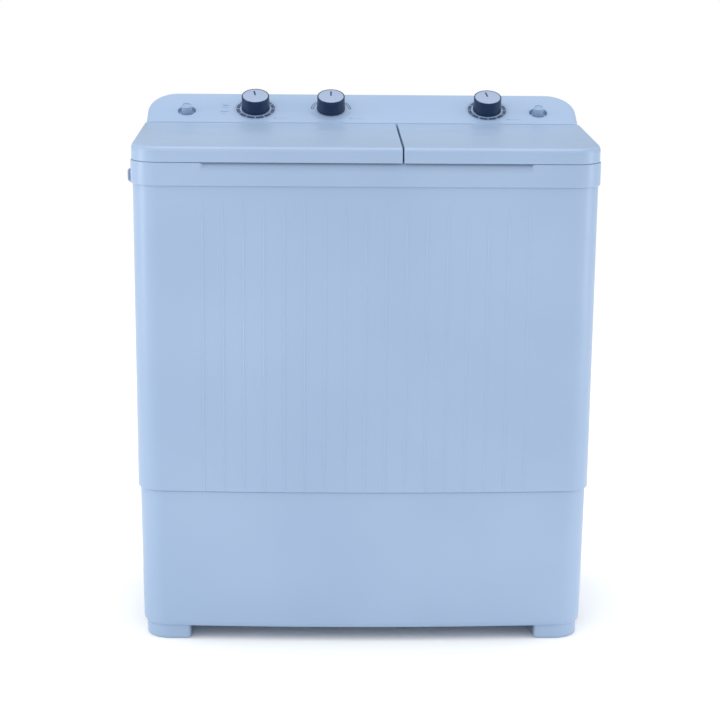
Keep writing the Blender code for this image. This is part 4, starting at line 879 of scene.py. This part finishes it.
def knob(name, x):
    """A drum knob: a waisted skirt with fine grip flutes, a thin rim, and a flat cap let into it."""
    body = name + "_knob"
    seat = KNOB_HEIGHT - KNOB_RIM
    profile = [(0, 0.0012), (KNOB_FOOT_RADIUS - 0.0014, 0.0010), (KNOB_FOOT_RADIUS - 0.0003, 0.0014),
               (KNOB_FOOT_RADIUS, 0.0022), (KNOB_FOOT_RADIUS - 0.0002, 0.0050),
               (KNOB_RADIUS + 0.0002, 0.0120), (KNOB_RADIUS, KNOB_HEIGHT - 0.0016),
               (KNOB_RADIUS - 0.0002, KNOB_HEIGHT - 0.0007), (KNOB_RADIUS - 0.0006, KNOB_HEIGHT - 0.0001),
               (KNOB_RADIUS - 0.0010, KNOB_HEIGHT), (KNOB_RADIUS - 0.0015, KNOB_HEIGHT - 0.0003),
               (KNOB_RADIUS - 0.0016, seat - 0.0010), (0, seat - 0.0010)]
    shape = turned_shape(profile, 96)
    for vertex in shape.verts:
        radius = math.hypot(vertex.co.x, vertex.co.y)
        if radius > KNOB_RADIUS - 0.0001 and 0.004 < vertex.co.z < KNOB_HEIGHT - 0.001:
            index = round(math.atan2(vertex.co.y, vertex.co.x) / (2 * math.pi) * 96)
            if index % 2:
                vertex.co.xy *= 1 - 0.00022 / radius
    place, tilt = on_panel(x, DIAL_Y), (PANEL_TILT, 0, 0)
    piece(body + "_skirt", shape, "navy_plastic", body, place, tilt, 40, nodes=(body,))
    edge = KNOB_RADIUS - 0.0019
    cap = [(0, 0.0009), (edge - 0.0035, 0.0008), (edge - 0.0005, 0.0006), (edge, 0.0001), (edge, -0.0012),
           (0, -0.0012)]
    piece(name + "_cap_disc", turned_shape(cap, 72), "pale_plastic", body, on_panel(x, DIAL_Y, seat + 0.0004),
          tilt, nodes=(name + "_cap",))
    pointer(name, x, seat + 0.0004)


def pointer(name, x, seat):
    """The printed line that shows where the knob points."""
    shape = bmesh.new()
    half, low, high = 0.0015, 0.0010, 0.0172
    outline = [(-half, low), (half, low), (half, high - 0.001), (half * 0.5, high), (-half * 0.5, high),
               (-half, high - 0.001)]
    turn = math.radians(POINTER_LEAN[name])
    for layer in range(2):
        row = [shape.verts.new((px * math.cos(turn) - py * math.sin(turn),
                                px * math.sin(turn) + py * math.cos(turn), layer * 0.00015))
               for px, py in outline]
        if layer:
            shape.faces.new(row)
            skin(shape, [lower, row])
        lower = row
    piece(name + "_pointer", shape, POINTER_INK, name + "_knob", on_panel(x, DIAL_Y, seat + 0.00085),
          (PANEL_TILT, 0, 0))


def inlet(name, x):
    """A moulded cup let into the panel, with the hose spigot and its ringed strainer standing up from it."""
    cup, flange, tube, hole, deep = 0.0162, 0.0193, 0.0099, 0.0079, 0.0085
    rise = 0.0120
    profile = [(hole, -0.060), (hole, rise - 0.0004), (hole + 0.0004, rise), (tube - 0.0004, rise),
               (tube, rise - 0.0005), (tube - 0.0003, rise - 0.0040), (tube + 0.0002, rise - 0.0044),
               (tube, rise - 0.0075), (tube, -deep + 0.0020), (tube + 0.0015, -deep), (cup - 0.0030, -deep),
               (cup - 0.0008, -deep + 0.0012), (cup, -deep + 0.0035), (cup + 0.0002, -0.0008),
               (cup + 0.0008, 0.0004), (flange - 0.0012, 0.0006), (flange, 0.0001), (flange, -0.0002),
               (cup + 0.0016, -0.0006), (cup + 0.0016, -0.012), (tube, -0.012), (tube, -0.060)]
    piece(name + "_cup", turned_shape(profile, 48, closed=True), "blue_plastic", "cabinet",
          on_panel(x, INLET_Y), (PANEL_TILT, 0, 0), nodes=(name,))
    strainer = [(0, 0.0006), (0.0012, 0.0009), (0.0020, 0.0002), (0.0030, 0.0008), (0.0040, 0.0002),
                (0.0050, 0.0008), (0.0060, 0.0002), (hole - 0.0008, 0.0009), (hole, 0.0009), (hole, -0.0006),
                (0, -0.0006)]
    piece(name + "_strainer", turned_shape(strainer, 40), "blue_plastic", "cabinet",
          on_panel(x, INLET_Y, rise - 0.0022), (PANEL_TILT, 0, 0))


# Wash tub

def tub_row(shape, inset, level):
    return ring(shape, inset_rectangle(TUB, [TUB_CORNER] * 4, inset, 0.008), level)


def wash_tub():
    """The tub's inside face, with rolled edges, and a thin outer skin that faces the works."""
    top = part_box("wash_tub")[1].z
    bend = 0.022
    shape = bmesh.new()
    rows = [tub_row(shape, -0.008, top), tub_row(shape, 0.0005, top), tub_row(shape, WALL, top - 0.002),
            tub_row(shape, WALL, TUB_FLOOR + bend)]
    for share, drop in fillet(bend):
        if share:
            rows.append(tub_row(shape, WALL + bend * share, TUB_FLOOR + drop))
    skin(shape, rows)
    well = ring(shape, circle(*PULSATOR, WELL_RADIUS - WALL + 0.004), TUB_FLOOR)
    floor = ring(shape, circle(*PULSATOR, WELL_RADIUS - WALL), WELL_FLOOR + 0.0002)
    middle = ring(shape, circle(*PULSATOR, 0.0185), WELL_FLOOR + 0.0002)
    skin(shape, [well, floor, middle])
    drain = ring(shape, circle(0.002, 0.110, 0.014, 24), TUB_FLOOR)
    sump = ring(shape, circle(0.002, 0.110, 0.014, 24), TUB_FLOOR - 0.010)
    skin(shape, [drain, sump])
    fill(shape, rows[-1], [well, drain])
    outside = [tub_row(shape, -0.008, top - 0.0004), tub_row(shape, 0.0, top - WALL),
               tub_row(shape, 0.0, TUB_FLOOR + bend)]
    for share, drop in fillet(bend - 0.003, 5):
        outside.append(tub_row(shape, bend * share, TUB_FLOOR - WALL + drop * 1.2))
    skin(shape, outside)
    piece("wash_tub_shell", shape, "white_plastic", nodes=("wash_tub",))
    wash_board()


def wash_board():
    """Upright scrubbing ridges on the tub's front and side walls."""
    left, right, front, rear = TUB
    shape = bmesh.new()
    places = [(left + 0.075 + 0.028 * step, front + WALL, 0, 1) for step in range(10)]
    places += [(left + WALL, front + 0.075 + 0.028 * step, 1, 0) for step in range(8)]
    places += [(right - WALL, front + 0.075 + 0.028 * step, -1, 0) for step in range(8)]
    for x, y, out_x, out_y in places:
        rows = []
        for step in range(9):
            share = step / 8
            level = 0.400 + 0.300 * share
            rise = 0.0035 * math.sin(math.pi * share) ** 0.4 if 0 < step < 8 else 0.0
            row = []
            for across, out in ((-1.0, -0.05), (-0.6, 0.6), (0.0, 1.0), (0.6, 0.6), (1.0, -0.05)):
                side = 0.0050 * across
                row.append(shape.verts.new((x + out * rise * out_x + side * abs(out_y),
                                            y + out * rise * out_y + side * abs(out_x), level)))
            rows.append(row)
        strip(shape, rows)
    piece("wash_board_ridges", shape, "white_plastic", crease=60)


def pulsator_height(x, y):
    """The pulsator's top: a low dome with three vanes right across it."""
    radius = math.hypot(x, y)
    disc = 0.0165 + 0.0135 * max(0.0, 1 - radius / 0.134) ** 1.3
    hub = 0.044 if radius < 0.021 else 0.044 - 0.5 * (radius - 0.021)
    vane = 0.0
    for number in range(3):
        angle = math.pi * number / 3
        off = abs(x * math.sin(angle) - y * math.cos(angle))
        along = abs(x * math.cos(angle) + y * math.sin(angle))
        if off < 0.016 and along < 0.128:
            ease = min(1.0, (0.128 - along) / 0.012)
            vane = max(vane, 0.0355 * (1 - (off / 0.016) ** 2 * 0.55) * ease)
    return max(disc, hub, vane)


def pulsator():
    rim, steps, bands = 0.1415, 120, 34
    shape = bmesh.new()
    rows = [[shape.verts.new((0, 0, 0.044))]]
    for band in range(1, bands + 1):
        radius = rim * 0.985 * band / bands
        row = [shape.verts.new((x, y, pulsator_height(x, y))) for x, y in circle(0, 0, radius, steps)]
        rows.append(row)
    for level in (0.0150, 0.0130):
        rows.append(ring(shape, circle(0, 0, rim, steps), level))
    join_turned(shape, rows, steps)
    shape.faces.new(rows[-1])
    piece("pulsator_disc", shape, "white_plastic", "pulsator", (*PULSATOR, WELL_FLOOR), crease=50,
          nodes=("pulsator",))


def lint_filter():
    """A slotted cassette on the tub's rear wall, with a mesh net behind its slots."""
    low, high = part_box("lint_filter")
    x = (low.x + high.x) / 2 - MIDDLE
    shape = bmesh.new()
    limits = (-0.045, 0.045, -0.075, 0.075)
    rows = []
    for share, drop in fillet(0.004, 5):
        rows.append(ring(shape, inset_rectangle(limits, [0.008] * 4, 0.004 * share), 0.018 - drop))
    rows.insert(0, ring(shape, rounded_rectangle(*limits, [0.008] * 4), 0.0))
    skin(shape, rows)
    slots = []
    for column in (-1, 1):
        for step in range(7):
            level = -0.054 + 0.018 * step
            middle = column * 0.019
            slots.append(ring(shape, rounded_rectangle(middle - 0.013, middle + 0.013, level - 0.0045,
                                                       level + 0.0045, [0.0044] * 4), 0.018))
    floors = []
    for slot in slots:
        floor = [shape.verts.new((v.co.x, v.co.y, 0.013)) for v in slot]
        skin(shape, [floor, slot])
        floors.append(floor)
    fill(shape, rows[-1], slots)
    for floor in floors:
        shape.faces.new(floor)
    place = (x, high.y, (low.z + high.z) / 2)
    piece("lint_filter_cassette", shape, "pale_plastic", place=place, tilt=(math.pi / 2, 0, 0),
          nodes=("lint_filter",))


# Spin tub

def spin_basket():
    """A perforated steel drum with a plastic-capped balance ring."""
    inner, columns = BASKET_RADIUS - 0.0015, 120
    levels = [BASKET_FLOOR + 0.012 + 0.0056 * step for step in range(54)]
    shape = bmesh.new()
    rows = [ring(shape, circle(*SPIN, inner, columns), level) for level in levels]

    def solid(middle):
        turn = int((math.atan2(middle.y - SPIN[1], middle.x - SPIN[0]) / (2 * math.pi) % 1) * columns)
        row = int((middle.z - levels[0]) / 0.0056)
        return not (row % 6 == 3 and turn % 6 == (row // 6 % 2) * 3 and 2 < row < 50)

    skin(shape, rows, solid)
    foot = [ring(shape, circle(*SPIN, inner - 0.014, columns), BASKET_FLOOR - 0.0015),
            ring(shape, circle(*SPIN, inner - 0.004, columns), BASKET_FLOOR + 0.0035)]
    skin(shape, [*foot, rows[0]])
    hub = [ring(shape, circle(*SPIN, radius, columns), level)
           for radius, level in ((0.010, BASKET_FLOOR + 0.020), (0.018, BASKET_FLOOR + 0.020),
                                 (0.024, BASKET_FLOOR))]
    skin(shape, [*hub, foot[0]])
    made = piece("spin_basket_drum", shape, "stainless", "spin_basket", nodes=("spin_basket",))
    sheet = made.modifiers.new("sheet_thickness", "SOLIDIFY")
    sheet.thickness = 0.0010
    sheet.offset = 0.0
    rim = [(0.1060, -0.0260), (0.1060, -0.0035), (0.1066, -0.0012), (0.1080, 0.0),
           (0.1185, 0.0), (0.1205, -0.0012), (0.1215, -0.0035), (0.1215, -0.0240), (0.1180, -0.0275),
           (0.1150, -0.0300), (0.1090, -0.0310)]
    piece("balance_ring", turned_shape(rim, 96, closed=True), "white_plastic", "spin_basket",
          (*SPIN, BASKET_TOP))


def spin_press_cover():
    """The plate that holds the wet laundry down, with raised rings and a finger hub."""
    low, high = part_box("spin_press_cover")
    edge = (high.x - low.x) / 2
    profile = [(0, 0.0115), (0.0085, 0.0110), (0.0098, 0.0100), (0.0125, 0.0042), (0.0150, 0.0034)]
    for number in range(4):
        radius = 0.030 + 0.018 * number
        profile += [(radius, 0.0032), (radius + 0.0015, 0.0046), (radius + 0.0040, 0.0046),
                    (radius + 0.0055, 0.0032)]
    profile += [(edge - 0.010, 0.0032), (edge - 0.003, 0.0058), (edge - 0.0008, 0.0058), (edge, 0.0050),
                (edge, 0.0), (0, 0.0)]
    piece("spin_press_plate", turned_shape(profile, 96), "white_plastic", "spin_basket",
          (*SPIN, low.z), nodes=("spin_press_cover",))


def spin_safety_cover():
    """The inner lid: a shallow dish with a raised rim, rings of vent slots and a lifting tab."""
    low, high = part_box("spin_safety_cover")
    base, rise, edge = low.z, high.z - low.z, 0.117
    shape = bmesh.new()
    profile = [(0.012, 0.0030), (0.030, 0.0030), (0.050, 0.0030), (0.0555, 0.0030), (0.0700, 0.0030),
               (0.0760, 0.0030), (0.0855, 0.0030), (0.0870, 0.0036), (0.0882, 0.0048), (0.0895, rise),
               (edge - 0.0020, rise), (edge - 0.0006, rise - 0.0006), (edge, rise - 0.0018),
               (edge, 0.0003)]
    columns = 96
    rows = [ring(shape, circle(0, 0, radius, columns), level) for radius, level in profile]

    def solid(middle):
        radius = math.hypot(middle.x, middle.y)
        turn = int((math.atan2(middle.y, middle.x) / (2 * math.pi) % 1) * columns)
        slotted = 0.031 < radius < 0.049 or 0.0560 < radius < 0.0695
        return not (slotted and middle.z < 0.0032 and turn % 6 < 1)

    skin(shape, rows, solid)
    shape.faces.new(rows[0])
    made = piece("spin_safety_lid", shape, "white_plastic", "spin_safety_cover", (*SPIN, base),
                 nodes=("spin_safety_cover",))
    wall = made.modifiers.new("wall_thickness", "SOLIDIFY")
    wall.thickness = 0.0018
    wall.offset = -1.0
    tab = bmesh.new()
    limits = (-0.022, 0.022, -0.080, -0.066)
    rows = [ring(tab, rounded_rectangle(*limits, [0.005] * 4), 0.0016)]
    for share, drop in fillet(0.0012, 3):
        rows.append(ring(tab, inset_rectangle(limits, [0.005] * 4, 0.0012 * share), 0.0052 - drop))
    skin(tab, rows)
    tab.faces.new(rows[0])
    tab.faces.new(rows[-1])
    piece("safety_lid_tab", tab, "grey_plastic", "spin_safety_cover", (*SPIN, base))


# Back and left side

def rear_cover():
    """The works cover: a pressed border, two fields of louvred vents and a plain raised middle."""
    low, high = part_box("rear_cover")
    half, bottom, top = (high.x - low.x) / 2, low.z, high.z
    thickness = high.y - low.y
    shape = bmesh.new()
    rows = []
    for inset, out in ((0.0, 0.0), (0.0, thickness - 0.0008), (0.0008, thickness), (0.0200, thickness),
                       (0.0225, thickness - 0.0012), (0.0260, thickness - 0.0012),
                       (0.0285, thickness)):
        points = inset_rectangle((-half, half, bottom, top), [0.010] * 4, inset, 0.003)
        rows.append([shape.verts.new((-x, out, y)) for x, y in points])
    skin(shape, rows)
    slots = []
    for middle in (-0.150, 0.150):
        for row in range(7):
            level = bottom + 0.060 + row * 0.013
            points = rounded_rectangle(middle - 0.050, middle + 0.050, level - 0.0025, level + 0.0025,
                                       [0.0024] * 4)
            slot = [shape.verts.new((-x, thickness, y)) for x, y in points]
            back = [shape.verts.new((-x, 0.0, y)) for x, y in points]
            skin(shape, [back, slot])
            slots.append(slot)
    fill(shape, rows[-1], slots)
    piece("rear_cover_panel", shape, "white_plastic", place=(0, low.y, 0), nodes=("rear_cover",))


def hose_hook():
    """A J-shaped hook with rounded bends, on a plate let in under the band."""
    low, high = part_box("hose_hook")
    left, right = low.x - MIDDLE, high.x - MIDDLE
    thick, bend = 0.0035, 0.007
    inner, outer = [], []
    for step in range(9):
        angle = math.radians(180 + 90 * step / 8)
        outer.append((left + bend + bend * math.cos(angle), low.z + bend + bend * math.sin(angle)))
        inner.append((left + bend + (bend - thick) * math.cos(angle),
                      low.z + bend + (bend - thick) * math.sin(angle)))
    tip = [(left + thick, high.z - 0.0018), (left + thick * 0.85, high.z - 0.0004),
           (left + thick * 0.5, high.z), (left + thick * 0.15, high.z - 0.0004), (left, high.z - 0.0018)]
    plate_top = BAND_BOTTOM - 0.001
    points = (tip + outer + [(right, low.z), (right, plate_top), (right - thick, plate_top),
                             (right - thick, low.z + thick)] + list(reversed(inner)))
    shape = bmesh.new()
    front = [shape.verts.new((x, low.y, z)) for x, z in points]
    back = [shape.verts.new((x, high.y, z)) for x, z in points]
    skin(shape, [front, back])
    shape.faces.new(front)
    shape.faces.new(back)
    made = piece("hose_hook_strip", shape, "pale_plastic", nodes=("hose_hook",))
    made.modifiers.remove(made.modifiers["even_normals"])
    edge = made.modifiers.new("rounded_edges", "BEVEL")
    edge.width, edge.segments, edge.limit_method = 0.0007, 2, "ANGLE"
    edge.harden_normals = True


def carried_over():
    """The CAD pieces that stay: smooth shading and the finish of their own slot."""
    slots = {row["node"]: row["material_slot"] for row in frame["record"]["subparts"]}
    for name, node in frame["nodes"].items():
        if node.hide_render:
            continue
        shade_smooth(node, 32)
        finish = FINISHES[slots[name]]
        for slot in node.material_slots:
            slot.material = finish
        if not node.material_slots:
            node.data.materials.append(finish)


# Room, light and camera

def floor():
    mesh = bpy.data.meshes.new("floor")
    mesh.from_pydata([(-9, -9, 0), (9, -9, 0), (9, 9, 0), (-9, 9, 0)], [], [(0, 1, 2, 3)])
    made = bpy.data.objects.new("floor", mesh)
    made.data.materials.append(studio_paper("white_studio_paper"))
    bpy.context.scene.collection.objects.link(made)


def softbox(name, place, target, size, power):
    light = bpy.data.lights.new(name, "AREA")
    light.shape = "RECTANGLE"
    light.size, light.size_y = size
    light.energy = power
    made = bpy.data.objects.new(name, light)
    made.location = place
    made.rotation_euler = (Vector(target) - Vector(place)).to_track_quat("-Z", "Y").to_euler()
    bpy.context.scene.collection.objects.link(made)


def studio():
    """White surroundings, dimmer where they are mirrored, so that the gloss does not wash the colour out."""
    world = bpy.data.worlds.new("white_studio")
    world.use_nodes = True
    tree = world.node_tree
    backdrop = tree.nodes["Background"]
    backdrop.inputs["Color"].default_value = (1.0, 1.0, 1.0, 1.0)
    mirrored = add_node(tree, "ShaderNodeLightPath").outputs["Is Glossy Ray"]
    strength = add_node(tree, "ShaderNodeMapRange", [("Value", mirrored)], [("To Min", 1.0), ("To Max", 0.4)])
    tree.links.new(strength.outputs[0], backdrop.inputs["Strength"])
    bpy.context.scene.world = world
    bpy.context.scene.view_settings.view_transform = "Standard"
    middle = (0.0, 0.0, 0.55)
    softbox("key_softbox", (-1.6, -3.0, 3.0), middle, (2.4, 2.0), 14)
    softbox("top_softbox", (0.0, 0.2, 3.6), middle, (3.0, 2.0), 36)
    softbox("left_softbox", (-3.2, -0.8, 1.2), middle, (0.9, 2.2), 26)
    softbox("right_softbox", (3.2, -0.8, 1.2), middle, (0.9, 2.2), 22)


def camera():
    data = bpy.data.cameras.new("camera")
    data.sensor_width = 36.0
    data.lens = CAMERA_LENS
    made = bpy.data.objects.new("camera", data)
    made.rotation_mode = "XYZ"
    azimuth, distance, height = math.radians(CAMERA_AZIMUTH), CAMERA_DISTANCE, CAMERA_HEIGHT
    aim = MIDDLE - CAMERA_ASIDE
    made.location = (aim - distance * math.sin(azimuth), -distance * math.cos(azimuth), height)
    turn = Matrix.Rotation(math.pi / 2 - math.radians(CAMERA_PITCH), 4, "X")
    swing = Matrix.Rotation(-azimuth, 4, "Z")
    roll = Matrix.Rotation(math.radians(CAMERA_ROLL), 4, "Z")
    made.rotation_euler = (swing @ turn @ roll).to_euler()
    bpy.context.scene.collection.objects.link(made)
    bpy.context.scene.camera = made



def build():
    base_piece, exits = base()
    cut(base_piece, exits)
    feet()
    cabinet()
    front_ribs()
    top_frame()
    lid("wash_lid", -1, HINGE_BLOCKS[:2])
    lid("spin_lid", 1, HINGE_BLOCKS[2:])
    control_panel()
    for name, x in DIALS.items():
        knob(name, x)
        dial_notes(name, x)
    timer_scale("wash_timer", DIALS["wash_timer"])
    timer_scale("spin_timer", DIALS["spin_timer"])
    selector_scale("drain_selector", DIALS["drain_selector"])
    key_block()
    for name, x in INLETS.items():
        inlet(name, x)
    wash_tub()
    pulsator()
    lint_filter()
    spin_basket()
    spin_press_cover()
    spin_safety_cover()
    rear_cover()
    hose_hook()
    carried_over()


build()
floor()
studio()
camera()
